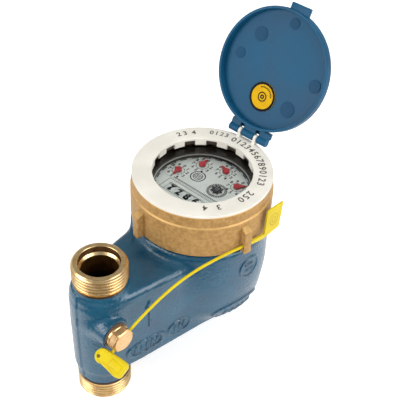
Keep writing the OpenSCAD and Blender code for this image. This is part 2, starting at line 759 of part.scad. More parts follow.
// Brass hexagon plug with a collar that covers the adjusting screw, its head drilled for the seal
module adjusting_plug() {
    corner_r = plug_flats / 2 / cos(30);
    head_end = head_low + plug_head;
    color(brass) difference() {
        translate([plug_x, 0, plug_z]) rotate([90, 0, 0]) {
            translate([0, 0, head_low]) cylinder(r = plug_flats / 2 + plug_collar_out, h = plug_collar_t);
            intersection() {
                translate([0, 0, head_low]) rotate([0, 0, 3]) cylinder(r = corner_r, h = plug_head, $fn = 6);
                rotate_extrude() polygon([
                    [0, head_low - 1], [corner_r + 0.5, head_low - 1], [corner_r + 0.5, head_end - 1],
                    [plug_flats / 2 - 0.2, head_end], [0, head_end]]);
            }
            translate([0, 0, shank_end]) cylinder(r = plug_shank_r, h = head_low - shank_end + 1);
        }
        translate(strap_pass) rotate([0, 90 - strap_slope, 0])
            translate([0, 0, -20]) cylinder(r = strap_hole_r, h = 40);
    }
}

// Direction of the strap at one point of its route
function strap_way(i) =
    let (last = len(strap_route) - 1, d = strap_route[min(i + 1, last)] - strap_route[max(i - 1, 0)])
    d / norm(d);

// Yellow plastic strap of the seal with the flat flag at its end
module seal_strap() {
    sides = 8;
    rows = len(strap_route);
    stem_from = lug_w / 2 + 0.6;
    points = [for (i = [0:rows - 1], k = [0:sides - 1])
        let (way = strap_way(i), across = cross(way, [0, 1, 0]) / norm(cross(way, [0, 1, 0])),
             over = cross(way, across), a = 360 * k / sides)
        strap_route[i] + strap_r * (cos(a) * across + sin(a) * over)];
    walls = [for (i = [0:rows - 2], k = [0:sides - 1])
        let (n = (k + 1) % sides)
        [(i + 1) * sides + k, (i + 1) * sides + n, i * sides + n, i * sides + k]];
    caps = [[for (k = [0:sides - 1]) k], [for (k = [sides - 1:-1:0]) (rows - 1) * sides + k]];
    color(yellow) {
        polyhedron(points, concat(walls, caps));
        translate(lug_hole - [0, 0.5, 0]) rotate([90, 0, 0]) linear_extrude(flag_t)
            translate([14.6, -3.2]) polygon([
                [stem_from - 14.6, 2.4], [-1, 0.2], [0, 0], [flag_w, 2], [flag_w + 1.6, flag_len],
                [1.4, flag_len], [0.3, 3.6], [stem_from - 14.6, 5.2]]);
    }
}

// Yellow plastic lock of the seal: a flared grip with an end ring and the socket that holds the strap
module seal_lock() {
    wide = lock_w / 2;
    narrow = wide * 0.8;
    color(yellow) translate(strap_in) rotate([15, -strap_slope, 0]) difference() {
        translate([-2, 1.8, -lock_t / 2]) linear_extrude(lock_t) difference() {
            union() {
                polygon([
                    [-narrow, 0], [-wide, 2.5 - lock_len], [1.5 - wide, -lock_len],
                    [wide - 1.5, -lock_len], [wide, 2.5 - lock_len], [narrow, 0]]);
                translate([-0.4, 1.2]) circle(r = narrow + 0.2);
            }
            translate([-1.7, 2.8]) circle(r = 1.1);
        }
        rotate([0, 90, 0]) cylinder(r = strap_r + play, h = lock_w);
    }
}

meter_body();
strainer_basket();
measuring_chamber();
chamber_gasket();
pivot_pin();
chamber_cover();
impeller();
register_case();
roller_axle();
for (i = [1:roller_count]) roller(i);
star_wheel();
for (i = [1:4]) pointer(i);
dial_plate();
glass_gasket();
sight_glass();
slip_ring();
head_ring();
cover_ring();
hinge_pin();
lid();
lid_label();
adjusting_screw();
plug_washer();
adjusting_plug();
seal_strap();
seal_lock();
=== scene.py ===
import json
import math

import bmesh
import bpy
import numpy as np
from mathutils import Matrix, Vector

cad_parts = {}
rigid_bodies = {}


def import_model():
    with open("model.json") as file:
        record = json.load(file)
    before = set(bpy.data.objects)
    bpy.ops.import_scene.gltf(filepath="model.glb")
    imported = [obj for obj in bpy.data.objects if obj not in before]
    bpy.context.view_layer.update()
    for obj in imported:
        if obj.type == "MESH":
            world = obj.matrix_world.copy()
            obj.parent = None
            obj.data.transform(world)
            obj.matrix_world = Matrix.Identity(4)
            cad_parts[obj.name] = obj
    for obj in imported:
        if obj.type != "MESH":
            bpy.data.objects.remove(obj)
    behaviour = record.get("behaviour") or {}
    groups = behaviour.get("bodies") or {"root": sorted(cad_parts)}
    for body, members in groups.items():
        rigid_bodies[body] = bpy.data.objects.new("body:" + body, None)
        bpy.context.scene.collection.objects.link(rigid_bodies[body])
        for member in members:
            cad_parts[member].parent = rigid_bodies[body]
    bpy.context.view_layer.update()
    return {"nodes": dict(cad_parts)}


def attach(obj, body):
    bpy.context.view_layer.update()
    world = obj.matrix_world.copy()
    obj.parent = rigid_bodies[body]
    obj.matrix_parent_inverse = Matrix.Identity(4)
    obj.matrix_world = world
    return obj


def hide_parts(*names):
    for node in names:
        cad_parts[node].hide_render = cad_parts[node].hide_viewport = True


for leftover in list(bpy.data.objects):
    bpy.data.objects.remove(leftover)
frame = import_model()

# Camera: it stands in front and to the left of the meter, about half a metre away, and looks down at it.
# Its place, its long lens and its slight roll were fitted to the outlines in the photograph.
azimuth = math.radians(-46.876)
elevation = math.radians(40.869)
roll = math.radians(2.758)
camera_reach = 0.555
looked_at = Vector((0.080963, 0, 0.103149))
camera_back = Vector((
    math.sin(azimuth) * math.cos(elevation), -math.cos(azimuth) * math.cos(elevation), math.sin(elevation)))
level_right = (-camera_back).cross(Vector((0, 0, 1))).normalized()
level_up = level_right.cross(-camera_back)
camera_right = math.cos(roll) * level_right + math.sin(roll) * level_up
camera_up = -math.sin(roll) * level_right + math.cos(roll) * level_up
camera = bpy.data.objects.new("camera", bpy.data.cameras.new("camera"))
camera.data.lens = 80.904
camera.data.sensor_width = 36
camera.data.clip_end = 10
camera.matrix_world = Matrix((camera_right, camera_up, camera_back)).transposed().to_4x4()
camera.location = looked_at + camera_reach * camera_back
bpy.context.scene.collection.objects.link(camera)
bpy.context.scene.camera = camera

# Floor and studio light: a pale paper floor under the pipe's lower end, two large soft boxes left and right
# of the camera, a weak one beside it and one overhead, and a white room with a darker ceiling. In front, out
# of the picture, the paper ends and the metal mirrors a dark room.
scene = bpy.context.scene
scene.view_settings.view_transform = "Standard"


def add_node(tree, kind, settings=None, operation=None):
    """New shader node of a kind with its sockets set"""
    node = tree.nodes.new("ShaderNode" + kind)
    if operation:
        node.operation = operation
    for socket, value in (settings or {}).items():
        node.inputs[socket].default_value = value
    return node


def link(tree, *wires):
    """Wire outputs of shader nodes to inputs"""
    for source, output, target, socket in wires:
        tree.links.new(source.outputs[output], target.inputs[socket])


def lay_sheet(name, corners, height, finish, colour):
    """Flat dull sheet under the meter from its corners in metres"""
    mesh = bpy.data.meshes.new(name)
    mesh.from_pydata([(x, y, height) for x, y in corners], [], [(0, 1, 2, 3)])
    sheet = bpy.data.objects.new(name, mesh)
    scene.collection.objects.link(sheet)
    material = bpy.data.materials.new(finish)
    material.use_nodes = True
    shader = material.node_tree.nodes["Principled BSDF"]
    shader.inputs["Base Color"].default_value = (*colour, 1)
    shader.inputs["Roughness"].default_value = 1
    mesh.materials.append(material)
    return sheet


paper_corners = [(-3, -3), (3, -3), (3, 3), (-3, 3)]
floor = lay_sheet("floor", paper_corners, -0.0006, "floor_paper", (0.86, 0.86, 0.86))
paper_end = 0.062
room_reach = 0.9
room_corners = [
    (-0.73 * ahead + 0.683 * side, -0.683 * ahead - 0.73 * side) for ahead, side in
    ((paper_end, -room_reach), (room_reach, -room_reach), (room_reach, room_reach), (paper_end, room_reach))]
room_front = lay_sheet("room_front", room_corners, -0.0003, "dark_room", (0.05, 0.045, 0.04))
room_front.visible_camera = False
room_front.visible_diffuse = False
room_front.visible_shadow = False
paper = floor.data.materials[0].node_tree
paper_shader = paper.nodes["Principled BSDF"]
paper_shader.inputs["Specular IOR Level"].default_value = 0
paper_shader.inputs["Emission Color"].default_value = (1, 1, 1, 1)
paper_path = add_node(paper, "LightPath")
paper_mirrored = add_node(paper, "Math", {1: 0.3}, "MULTIPLY")
paper_glow = add_node(paper, "Math", {1: 0.5}, "MULTIPLY_ADD")
link(paper, (paper_path, "Is Glossy Ray", paper_mirrored, 0), (paper_path, "Is Camera Ray", paper_glow, 0),
     (paper_mirrored, 0, paper_glow, 2), (paper_glow, 0, paper_shader, "Emission Strength"))
scene.world = bpy.data.worlds.new("studio")
scene.world.use_nodes = True
studio = scene.world.node_tree
room = studio.nodes["Background"]
room.inputs["Color"].default_value = (1, 1, 1, 1)
room_path = add_node(studio, "LightPath")
room_seen = add_node(studio, "Math", operation="MAXIMUM")
room_level = add_node(studio, "MapRange", {"To Min": 0.32, "To Max": 1})
room_way = add_node(studio, "TexCoord")
room_height = add_node(studio, "SeparateXYZ")
room_mirrored = add_node(
    studio, "MapRange", {"From Min": 0.05, "From Max": 0.5, "To Min": 0.65, "To Max": 0.35})
room_strength = add_node(studio, "Mix")
link(studio, (room_path, "Is Camera Ray", room_seen, 0), (room_path, "Is Transmission Ray", room_seen, 1),
     (room_seen, 0, room_level, "Value"), (room_way, "Generated", room_height, 0),
     (room_height, "Z", room_mirrored, "Value"), (room_path, "Is Glossy Ray", room_strength, "Factor"),
     (room_level, "Result", room_strength, "A"), (room_mirrored, "Result", room_strength, "B"),
     (room_strength, "Result", room, "Strength"))
lamp_aim = Vector((0.07, 0, 0.08))
for lamp_name, lamp_from, lamp_size, lamp_power, lamp_mirrors in (
        ("left_box", (-0.95, 0.34, 0.54), 0.8, 8.0, True),
        ("right_box", (0.33, -1.0, 0.54), 0.8, 8.5, True),
        ("front_box", (-0.62, -0.6, 0.5), 1.0, 4.0, False),
        ("top_box", (0.3, 0.12, 1.05), 0.7, 4.8, False)):
    lamp = bpy.data.objects.new(lamp_name, bpy.data.lights.new(lamp_name, "AREA"))
    lamp.data.size = lamp_size
    lamp.data.energy = lamp_power
    lamp.location = lamp_from
    lamp.rotation_euler = (lamp_aim - Vector(lamp_from)).to_track_quat("-Z", "Y").to_euler()
    lamp.visible_glossy = lamp_mirrors
    scene.collection.objects.link(lamp)

# Painted body: one brass sand casting of barrel, neck, bowl and plug boss, blended by large fillets and
# coated with blue enamel. Its two mould halves meet at the middle plane with a small step, and the
# founder's oval frames, a ring and a flow arrow stand out of its sides.
head_x = 82
bore_r = 11
collar_r = 16.2
barrel_r = 17.5
neck_r = 31
neck_lean = (neck_r - barrel_r) / head_x
neck_cos = math.sqrt(1 - neck_lean ** 2)
bowl_r = 43
bowl_low = 28
bowl_top = 94
mouth_bore_r = 35.5
boss_x = -7.4
boss_z = 65.7
boss_r = 9.3
boss_out = 21
parting_step = 0.7
mark_rise = 0.8


def shade(red, green, blue):
    """Linear colour of a shade as it looks on screen"""
    def linear(value):
        value /= 255
        return value / 12.92 if value <= 0.04045 else ((value + 0.055) / 1.055) ** 2.4
    return (linear(red), linear(green), linear(blue), 1)


def surface(name, dark, light, patch, rough, grain, depth, metal=0.0, shine=0.5, spread=0.08):
    """Finish with patches between two shades, uneven gloss, and a fine grain of the given depth in mm"""
    material = bpy.data.materials.new(name)
    material.use_nodes = True
    tree = material.node_tree
    shader = tree.nodes["Principled BSDF"]
    shader.inputs["Metallic"].default_value = metal
    shader.inputs["Specular IOR Level"].default_value = shine
    place = add_node(tree, "TexCoord")
    cloud = add_node(tree, "TexNoise", {"Scale": patch, "Detail": 6})
    blend = add_node(tree, "ValToRGB")
    for stop, position, colour in zip(blend.color_ramp.elements, (0.36, 0.64), (dark, light)):
        stop.position = position
        stop.color = shade(*colour)
    gloss = add_node(tree, "MapRange", {
        "From Min": 0.3, "From Max": 0.7, "To Min": rough - spread, "To Max": rough + spread})
    fine = add_node(tree, "TexNoise", {"Scale": grain, "Detail": 4})
    relief = add_node(tree, "Bump", {"Strength": 1, "Distance": depth * 0.001})
    link(tree, (place, "Object", cloud, "Vector"), (cloud, 0, blend, 0), (blend, 0, shader, "Base Color"),
         (cloud, 0, gloss, "Value"), (gloss, "Result", shader, "Roughness"),
         (place, "Object", fine, "Vector"), (fine, 0, relief, "Height"), (relief, 0, shader, "Normal"))
    return material


def join(shapes):
    """One list of points and faces from several"""
    points = []
    faces = []
    for shape_points, shape_faces in shapes:
        faces += [tuple(int(i) + len(points) for i in f) for f in shape_faces]
        points += [tuple(p) for p in shape_points]
    return np.array(points), faces


def add_piece(name, shapes, material, body, slot, *nodes, place=np.asarray, crease=40):
    """Mesh piece from shapes in mm, put in place, riding on a body and standing for the named nodes"""
    points, faces = join(shapes)
    mesh = bpy.data.meshes.new(name)
    mesh.from_pydata((place(points) * 0.001).tolist(), [], faces)
    build = bmesh.new()
    build.from_mesh(mesh)
    bmesh.ops.remove_doubles(build, verts=build.verts, dist=1e-7)
    bmesh.ops.recalc_face_normals(build, faces=build.faces)
    build.to_mesh(mesh)
    build.free()
    mesh.materials.append(material)
    mesh.shade_smooth()
    mesh.set_sharp_from_angle(angle=math.radians(crease))
    piece = bpy.data.objects.new(name, mesh)
    scene.collection.objects.link(piece)
    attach(piece, body)
    if nodes:
        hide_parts(*nodes)
    return piece


def face_places(piece):
    """Middle of each face of a piece in mm, as three rows"""
    return np.array([face.center for face in piece.data.polygons]).T * 1000


def refinish(piece, numbers, *materials):
    """Further finishes for a piece, given to its faces by number, where nought keeps the first"""
    for material in materials:
        piece.data.materials.append(material)
    piece.data.polygons.foreach_set("material_index", numbers.astype(int))


def outline_distance(outline, reach=140, top=120, step=0.25):
    """Signed distance from a closed outline (radius, height), read from a fine table"""
    r, z = np.meshgrid(np.arange(0, reach, step), np.arange(0, top, step), indexing="ij")
    best = np.full(r.shape, 1e9)
    inside = np.zeros(r.shape, bool)
    outline = np.asarray(outline, float)
    for a, b in zip(outline, np.roll(outline, -1, axis=0)):
        way = b - a
        share = np.clip(((r - a[0]) * way[0] + (z - a[1]) * way[1]) / (way @ way), 0, 1)
        best = np.minimum(best, np.hypot(r - a[0] - share * way[0], z - a[1] - share * way[1]))
        if a[1] != b[1]:
            crosses = (a[1] > z) != (b[1] > z)
            inside ^= crosses & (r < a[0] + (z - a[1]) * way[0] / way[1])
    table = np.where(inside, -best, best)

    def read(radius, height):
        i = np.clip(radius / step, 0, table.shape[0] - 1.001)
        j = np.clip(height / step, 0, table.shape[1] - 1.001)
        i0 = i.astype(int)
        j0 = j.astype(int)
        i = i - i0
        j = j - j0
        near = table[i0, j0] * (1 - j) + table[i0, j0 + 1] * j
        far = table[i0 + 1, j0] * (1 - j) + table[i0 + 1, j0 + 1] * j
        return near * (1 - i) + far * i
    return read


def fillet(a, b, size):
    """Union of two distances with a fillet between them"""
    near = np.clip(1 - np.abs(a - b) / size, 0, 1)
    return np.minimum(a, b) - near * near * size / 4


def arc(mid_r, mid_z, radius, first, last, steps):
    """Points of a circular arc between two angles in degrees"""
    turn = np.radians(np.linspace(first, last, steps))
    return [(mid_r + radius * math.cos(t), mid_z + radius * math.sin(t)) for t in turn]


past_axis = -20
barrel_side = outline_distance([
    (past_axis, 13.8), (15.7, 13.8), (collar_r, 14.5), (collar_r, 22.4), (16.7, 23.4), (16.8, 24.4),
    (barrel_r, 60), (barrel_r, 78.6), (17.3, 79.6), (16.7, 80.8), (16.3, 81.8), (collar_r, 83),
    (collar_r, 90.7), (15.7, 91.4), (past_axis, 91.4)])
bowl_side = outline_distance(
    [(past_axis, bowl_low), (20, bowl_low)] + arc(21.2, 48, 20, -88, -4, 15)
    + [(bowl_r - 1.8 * ((68 - height) / 20) ** 2, height) for height in range(50, 68, 2)]
    + [(bowl_r, 68), (bowl_r, 91.4), (42.6, 92.8), (41.6, 93.8), (40, bowl_top), (past_axis, bowl_top)])
ledge_r = 29.5
cavity_r = 37.5
bowl_room = outline_distance(
    [(past_axis, 33.5), (23, 33.5)] + arc(23, 46, 12.5, -85, -3, 8)
    + [(mouth_bore_r, 61), (ledge_r, 62), (ledge_r, 66), (cavity_r, 66), (cavity_r, 84), (mouth_bore_r, 88),
       (mouth_bore_r, 120), (past_axis, 120)])


def neck_distance(x, y, z):
    """Neck: rounded in plan from the barrel to the bowl, with a sloping floor and a crowned roof"""
    side = np.abs(y)
    across = neck_cos * x + neck_lean * side
    end_r = barrel_r - 0.8 * np.clip((60 - z) / 36, 0, 1) * np.clip(1 - x / 14, 0, 1)
    plan = neck_cos * side - neck_lean * x - end_r
    plan = np.where(across < 0, np.hypot(side, x) - end_r, plan)
    plan = np.where(across > neck_cos * head_x, np.hypot(side, x - head_x) - neck_r, plan)
    lengthways = np.clip(x, 0, head_x)
    floor_z = 21.8 + 0.075 * lengthways
    roof_z = 87.4 + 0.025 * lengthways - 2.6 * (y / 22) ** 2
    upright = np.maximum(floor_z - z, z - roof_z)
    edge = 3.6
    out = np.hypot(np.maximum(plan + edge, 0), np.maximum(upright + edge, 0))
    return out + np.minimum(np.maximum(plan, upright) + edge, 0) - edge


def bar_distance(u, v, half_u, half_v):
    """Distance outside a bar with the given half sizes, nought on the bar itself"""
    return np.maximum(np.maximum(np.abs(u) - half_u, np.abs(v) - half_v), 0)


foot_mark_turn = math.radians(-95)
foot_mark_out = np.array([math.cos(foot_mark_turn), math.sin(foot_mark_turn), 0])
foot_mark_at = 38.9 * foot_mark_out + (head_x, 0, 38.6)
foot_mark_along = np.array([-foot_mark_out[1], foot_mark_out[0], 0])
foot_mark_up = 0.45 * foot_mark_out + (0, 0, 0.893)


def founder_marks(x, y, z):
    """Height, from nought to one, of the marks that the mould leaves on the front of the casting"""
    marks = np.zeros(np.shape(x))
    line_width = 0.6

    def raise_line(front, distance):
        line = np.clip(1.5 - np.abs(distance) / line_width, 0, 1)
        np.maximum(marks, np.where(front, line, 0), out=marks)

    along = neck_cos * x - neck_lean * y
    neck_front = (y < -10) & (x < 58)
    for mid_along, mid_z, half_u, half_v, power, sharpness, bars in (
            (20, 36.2, 12.4, 4.9, 3, 5, ((-7.5, 2.2), (-3.2, 0.7), (0.6, 2.0), (4.4, 2.2), (8, 2.0))),
            (44.5, 38.2, 8.2, 5.4, 2, 6, ((-3, 1.9), (0.4, 1.9), (3.4, 1.9)))):
        u = (along - mid_along) * 0.995 + (z - mid_z) * 0.1
        v = (z - mid_z) * 0.995 - (along - mid_along) * 0.1
        oval = (np.abs(u / half_u) ** power + np.abs(v / half_v) ** power) ** (1 / power)
        raise_line(neck_front, (oval - 1) * sharpness)
        for bar_u, bar_half in bars:
            raise_line(neck_front, bar_distance(u - bar_u - 0.25 * v, v, 0.2, bar_half))
    arrow = np.abs(along - 22.6)
    raise_line(neck_front, bar_distance(arrow, z - 62.5, 0.1, 10.5))
    raise_line(neck_front, bar_distance(arrow - (74 - z) * 0.55, z - 71.5, 0, 2.5))
    around = bowl_r * (np.arctan2(y, x - head_x) + math.pi / 2)
    bowl_front = y < -20
    raise_line(bowl_front, np.hypot(around, z - 76.3) - 7.6)
    raise_line(bowl_front, bar_distance(around + 0.2 * (z - 76), np.abs(z - 76.3) - 2.2, 2.6, 0.1))
    from_foot = [place - mid for place, mid in zip((x, y, z), foot_mark_at)]
    u = sum(part * way for part, way in zip(from_foot, foot_mark_along))
    v = sum(part * way for part, way in zip(from_foot, foot_mark_up))
    foot_front = (y < -15) & (z < 55)
    raise_line(foot_front, (np.hypot(u / 17.5, v / 9.5) - 1) * 12)
    for bar_u in (-9, -4.5, 0, 4.5, 9):
        raise_line(foot_front, bar_distance(u - bar_u, v, 0.9, 2.6))
    return marks


def casting_skin(x, y, z):
    """Distance from the outer skin of the casting"""
    skin = fillet(barrel_side(np.hypot(x, y), z), neck_distance(x, y, z), 2.5)
    skin = fillet(skin, bowl_side(np.hypot(x - head_x, y), z), 5)
    boss = np.maximum(np.hypot(x - boss_x, z - boss_z) - boss_r, np.maximum(-boss_out - y, y))
    skin = fillet(skin, boss, 3)
    return skin - parting_step * np.clip(y / 0.8 + 0.5, 0, 1) * ((z > 15) & (z < 88))


def casting(x, y, z):
    """Distance from the casting with its waterways, its hollow bowl and the bore of the plug"""
    solid = casting_skin(x, y, z) - mark_rise * founder_marks(x, y, z)
    from_pipe = np.hypot(x, y)
    turned_room_r = 13
    for low, high, radius in (
            (0, 59, bore_r), (73, 86, bore_r), (85, 120, turned_room_r), (0, 20, turned_room_r)):
        solid = np.maximum(solid, -np.maximum(from_pipe - radius, np.maximum(low - z, z - high)))
    duct_half = 12.5
    duct_end = 60
    duct_plan = np.maximum(np.abs(y) - duct_half, np.maximum(-x, x - duct_end))
    for low, high in ((33, 60), (74, 83)):
        solid = np.maximum(solid, -np.maximum(np.maximum(low - z, z - high), duct_plan))
    solid = np.maximum(solid, -bowl_room(np.hypot(x - head_x, y), z))
    plug_bore = np.maximum(np.hypot(x - boss_x, z - boss_z) - 5.1, y + 13)
    return np.maximum(solid, -plug_bore)


def net(distance, low, high, step):
    """Points and quads of the surface where a distance is zero"""
    axes = [np.arange(a, b + step, step) for a, b in zip(low, high)]
    field = distance(*np.meshgrid(*axes, indexing="ij"))
    solid = field < 0
    size = np.array(field.shape) - 1
    corners = [np.array((i, j, k)) for i in (0, 1) for j in (0, 1) for k in (0, 1)]
    count = sum(solid[i:i + size[0], j:j + size[1], k:k + size[2]].astype(np.int8) for i, j, k in corners)
    cells = np.argwhere((count > 0) & (count < 8))
    number = np.full(size, -1)
    number[tuple(cells.T)] = np.arange(len(cells))
    total = np.zeros((len(cells), 3))
    hits = np.zeros(len(cells))
    for a in corners:
        for b in corners:
            if (b - a).sum() != 1 or (b - a).min() < 0:
                continue
            value_a = field[tuple((cells + a).T)]
            value_b = field[tuple((cells + b).T)]
            cross = (value_a < 0) != (value_b < 0)
            share = np.where(cross, value_a / np.where(cross, value_a - value_b, 1), 0)
            total += cross[:, None] * (a + share[:, None] * (b - a))
            hits += cross
    points = (cells + total / hits[:, None]) * step + np.asarray(low)
    quads = []
    for axis in range(3):
        u, v = (axis + 1) % 3, (axis + 2) % 3
        first = solid.take(range(size[axis]), axis)
        last = solid.take(range(1, size[axis] + 1), axis)
        spots = np.argwhere(first != last)
        spots = spots[(spots[:, u] > 0) & (spots[:, v] > 0)]
        spots = spots[(spots[:, u] < size[u]) & (spots[:, v] < size[v])]
        step_u = np.eye(3, dtype=int)[u]
        step_v = np.eye(3, dtype=int)[v]
        ring = [number[tuple((spots - a).T)] for a in (step_u + step_v, step_v, 0 * step_u, step_u)]
        ring = np.stack(ring, axis=1)
        outward = first[tuple(spots.T)]
        quads.append(np.where(outward[:, None], ring, ring[:, ::-1]))
    probe = 0.05
    most = 0.3 * step
    for _ in range(2):
        value = distance(*points.T)
        slope = np.stack([(distance(*(points + d).T) - distance(*(points - d).T)) / (2 * probe)
                          for d in np.eye(3) * probe], axis=1)
        move = slope * (value / np.maximum((slope ** 2).sum(axis=1), 0.3))[:, None]
        points = points - np.clip(move, -most, most)
    return points, np.concatenate(quads)


enamel = surface("blue_enamel", (6, 66, 92), (16, 78, 104), 55, 0.22, 600, 0.32, shine=0.72)
# Flanks of the founder's marks: darker enamel, painted shade that outlines the raised lines.
mark_shade_enamel = surface("mark_shade_enamel", (8, 44, 66), (14, 54, 78), 55, 0.35, 600, 0.2)
# Inner faces of the casting: raw cast brass, painted near black as painted shade in the hollows and bores.
shaded_raw_casting = surface("raw_cast_brass_painted_shade", (12, 8, 4), (22, 15, 8), 90, 0.7, 900, 0.2, metal=0.3)
net_step = 0.8
body_shape = net(casting, (-22, -47, 12), (128, 47, 95), net_step)
body_paint = add_piece("painted_body", [body_shape], enamel, "case", "body_paint", "meter_body", crease=60)
body_faces = face_places(body_paint)
inner_faces = casting_skin(*body_faces) < -1.2
mark_height = founder_marks(*body_faces)
mark_flanks = (mark_height > 0.03) & (mark_height < 0.55) & ~inner_faces
refinish(body_paint, np.where(mark_flanks, 2, inner_faces), shaded_raw_casting, mark_shade_enamel)

# Pipe ends: the casting's two turned ends, left bare. Each has a G1 pipe thread, a lead chamfer, a flat end
# face, a gasket seat and the waterway, all cut on a lathe in bright brass. The bores are duller and painted
# dark brown as shade, and a thin line just under the paint's edge is painted dark as its shadow.
pipe_len = 105
seat_r = 12.4
seat_depth = 4.6
thread_pitch = 2.309
thread_root_r = 15.3
thread_depth = 1.32
thread_steps = 160
thread_around = np.linspace(0, 2 * math.pi, thread_steps, endpoint=False)


def grid_faces(rows, columns):
    """Quads of a closed grid of rows, each row a closed ring of columns"""
    i, j = np.meshgrid(np.arange(rows), np.arange(columns), indexing="ij")
    next_i = (i + 1) % rows
    next_j = (j + 1) % columns
    corners = ((i, j), (i, next_j), (next_i, next_j), (next_i, j))
    return np.stack([row * columns + column for row, column in corners], -1).reshape(-1, 4)


def turned(rows, turns=144):
    """Points and faces of a closed outline (radius, height) turned about the upright axis"""
    around = np.linspace(0, 2 * math.pi, turns, endpoint=False)
    points = [np.stack([r * np.cos(around), r * np.sin(around), np.full(turns, h)], axis=1) for r, h in rows]
    return np.concatenate(points), grid_faces(len(rows), turns)


bright_brass = surface(
    "bright_brass", (232, 196, 138), (245, 215, 162), 260, 0.3, 2600, 0.008, metal=1, spread=0.04)
# Darker brass: painted shade in the bores and a painted shadow just under the paint's edge.
bore_shade_brass = surface("bore_shade_brass", (72, 45, 16), (94, 61, 25), 200, 0.4, 1800, 0.02, metal=0.6)
for end_name, end_z, end_way, thread_stop, groove_r, groove_stop, shoulder_r in (
        ("upper_pipe_end", pipe_len, -1, 12, 15.4, 12.9, 16.15),
        ("lower_pipe_end", 0, 1, 11, 15.0, 12.4, 16.4)):
    end_rows = [(bore_r, 19), (bore_r, 6.1), (11.1, 5.9), (12.3, 4.7), (seat_r, seat_depth), (seat_r, 0.4),
                (12.7, 0.05), (12.9, 0), (15, 0)]
    for depth in np.arange(0.1, 14.4, 0.19):
        phase = (depth / thread_pitch + end_way * thread_around / (2 * math.pi)) % 1
        crest = np.clip((2 * np.abs(phase - 0.5) - 0.1) / 0.8, 0, 1)
        crest = crest * crest * (3 - 2 * crest)
        radius = np.minimum(thread_root_r + thread_depth * crest, 15.15 + 1.05 * depth)
        runs_out = np.clip((depth - thread_stop) / 0.4, 0, 1)
        radius = radius * (1 - runs_out) + (groove_r if depth < groove_stop else shoulder_r) * runs_out
        end_rows.append((radius, depth))
    end_rows += [(15.6, 14.6), (15.6, 19)]
    end_shape = turned([(radius, end_z + end_way * depth) for radius, depth in end_rows], thread_steps)
    pipe_end = add_piece(end_name, [end_shape], bright_brass, "case", "turned_brass", "meter_body", crease=50)
    face_x, face_y, face_z = face_places(pipe_end)
    face_depth = np.abs(face_z - end_z)
    in_bore = (np.hypot(face_x, face_y) < 12.45) & (face_depth > 0.6)
    on_seat = (face_depth >= seat_depth) & (face_depth <= 6.1)
    # Painted shadow: a thin dark band of the end just under the paint's edge.
    paint_edge_shadow = face_depth > 13.1
    refinish(pipe_end, (in_bore & ~on_seat) | paint_edge_shadow, bore_shade_brass)

# Bowl mouth: the casting's threaded rim that carries the head ring. It is machined in the same brass as the
# pipe ends and hidden under the ring.
mouth_r = 39.3
mouth_top = 111


def rounded(corners, steps=4):
    """Closed outline from corners (x, y, rounding)"""
    outline = []
    for k, (x, y, size) in enumerate(corners):
        here = np.array((x, y), float)
        if size == 0:
            outline.append((x, y))
            continue
        ends = []
        for other in (corners[k - 1], corners[(k + 1) % len(corners)]):
            way = np.array(other[:2], float) - here
            ends.append(here + way / np.linalg.norm(way) * min(size, 0.49 * np.linalg.norm(way)))
        for share in np.linspace(0, 1, steps + 1):
            spot = (1 - share) ** 2 * ends[0] + 2 * share * (1 - share) * here + share ** 2 * ends[1]
            outline.append(tuple(spot))
    return outline


def over_bowl(points):
    """Points about the upright axis, moved to the bowl's"""
    return points + (head_x, 0, 0)


mouth_shape = turned(rounded([
    (mouth_bore_r, 93.6, 0), (mouth_r, 93.6, 0), (mouth_r, mouth_top, 0.6), (mouth_bore_r, mouth_top, 0.4)]))
add_piece("bowl_mouth", [mouth_shape], bright_brass, "case", "turned_brass", "meter_body", place=over_bowl)

# Inside of the bowl: strainer, measuring chamber, its gasket and cover, the pivot and the impeller. They are
# plain plastic mouldings, a rubber ring and a steel pin, and only show when the meter is opened.
strainer_plastic = surface("strainer_plastic", (138, 142, 146), (160, 164, 168), 140, 0.5, 1800, 0.03)
chamber_plastic = surface("chamber_plastic", (226, 224, 216), (240, 238, 231), 120, 0.45, 1500, 0.02)
rubber = surface("black_rubber", (22, 22, 22), (34, 33, 32), 300, 0.75, 2600, 0.05)
steel = surface("ground_steel", (150, 152, 156), (186, 188, 192), 500, 0.28, 3200, 0.01, metal=1)


def dress(material, *nodes):
    """Finish for nodes of the frame that show as they are"""
    for node in nodes:
        frame["nodes"][node].data.materials.clear()
        frame["nodes"][node].data.materials.append(material)


dress(strainer_plastic, "strainer_basket")
dress(chamber_plastic, "measuring_chamber", "chamber_cover", "impeller")
dress(rubber, "chamber_gasket")
dress(steel, "pivot_pin")

# Register: a black moulded case with a steel roller axle, and four red moulded pointers on their arbors.
# They stand in the water under the glass, and the head ring clamps the case down.
case_plastic = surface("case_plastic", (52, 47, 41), (68, 61, 54), 150, 0.45, 1600, 0.03)
pointer_plastic = surface("pointer_plastic", (188, 46, 54), (212, 70, 76), 300, 0.35, 2200, 0.02)
dress(case_plastic, "register_case")
dress(steel, "roller_axle")
dress(pointer_plastic, *(f"pointer_{index}" for index in range(1, 5)))

# Star wheel: a moulded gear with eight points on top, drawn in a little over the gear, that spins as soon as
# water runs. A pressed metal hub sits in its middle.
head_turn = math.radians(3.5 - 90)
star_at = (8.77, 3.905)
star_points_low = 0.1131
star_arbor_r = 0.002
star_draw = 0.8


def head_place(u, v, z):
    """Points from the reader's right, the hinge's direction and the height"""
    u, v, z = np.broadcast_arrays(np.asarray(u, float), np.asarray(v, float), np.asarray(z, float))
    x = head_x + u * math.cos(head_turn) - v * math.sin(head_turn)
    y = u * math.sin(head_turn) + v * math.cos(head_turn)
    return np.stack([x, y, z], axis=-1)


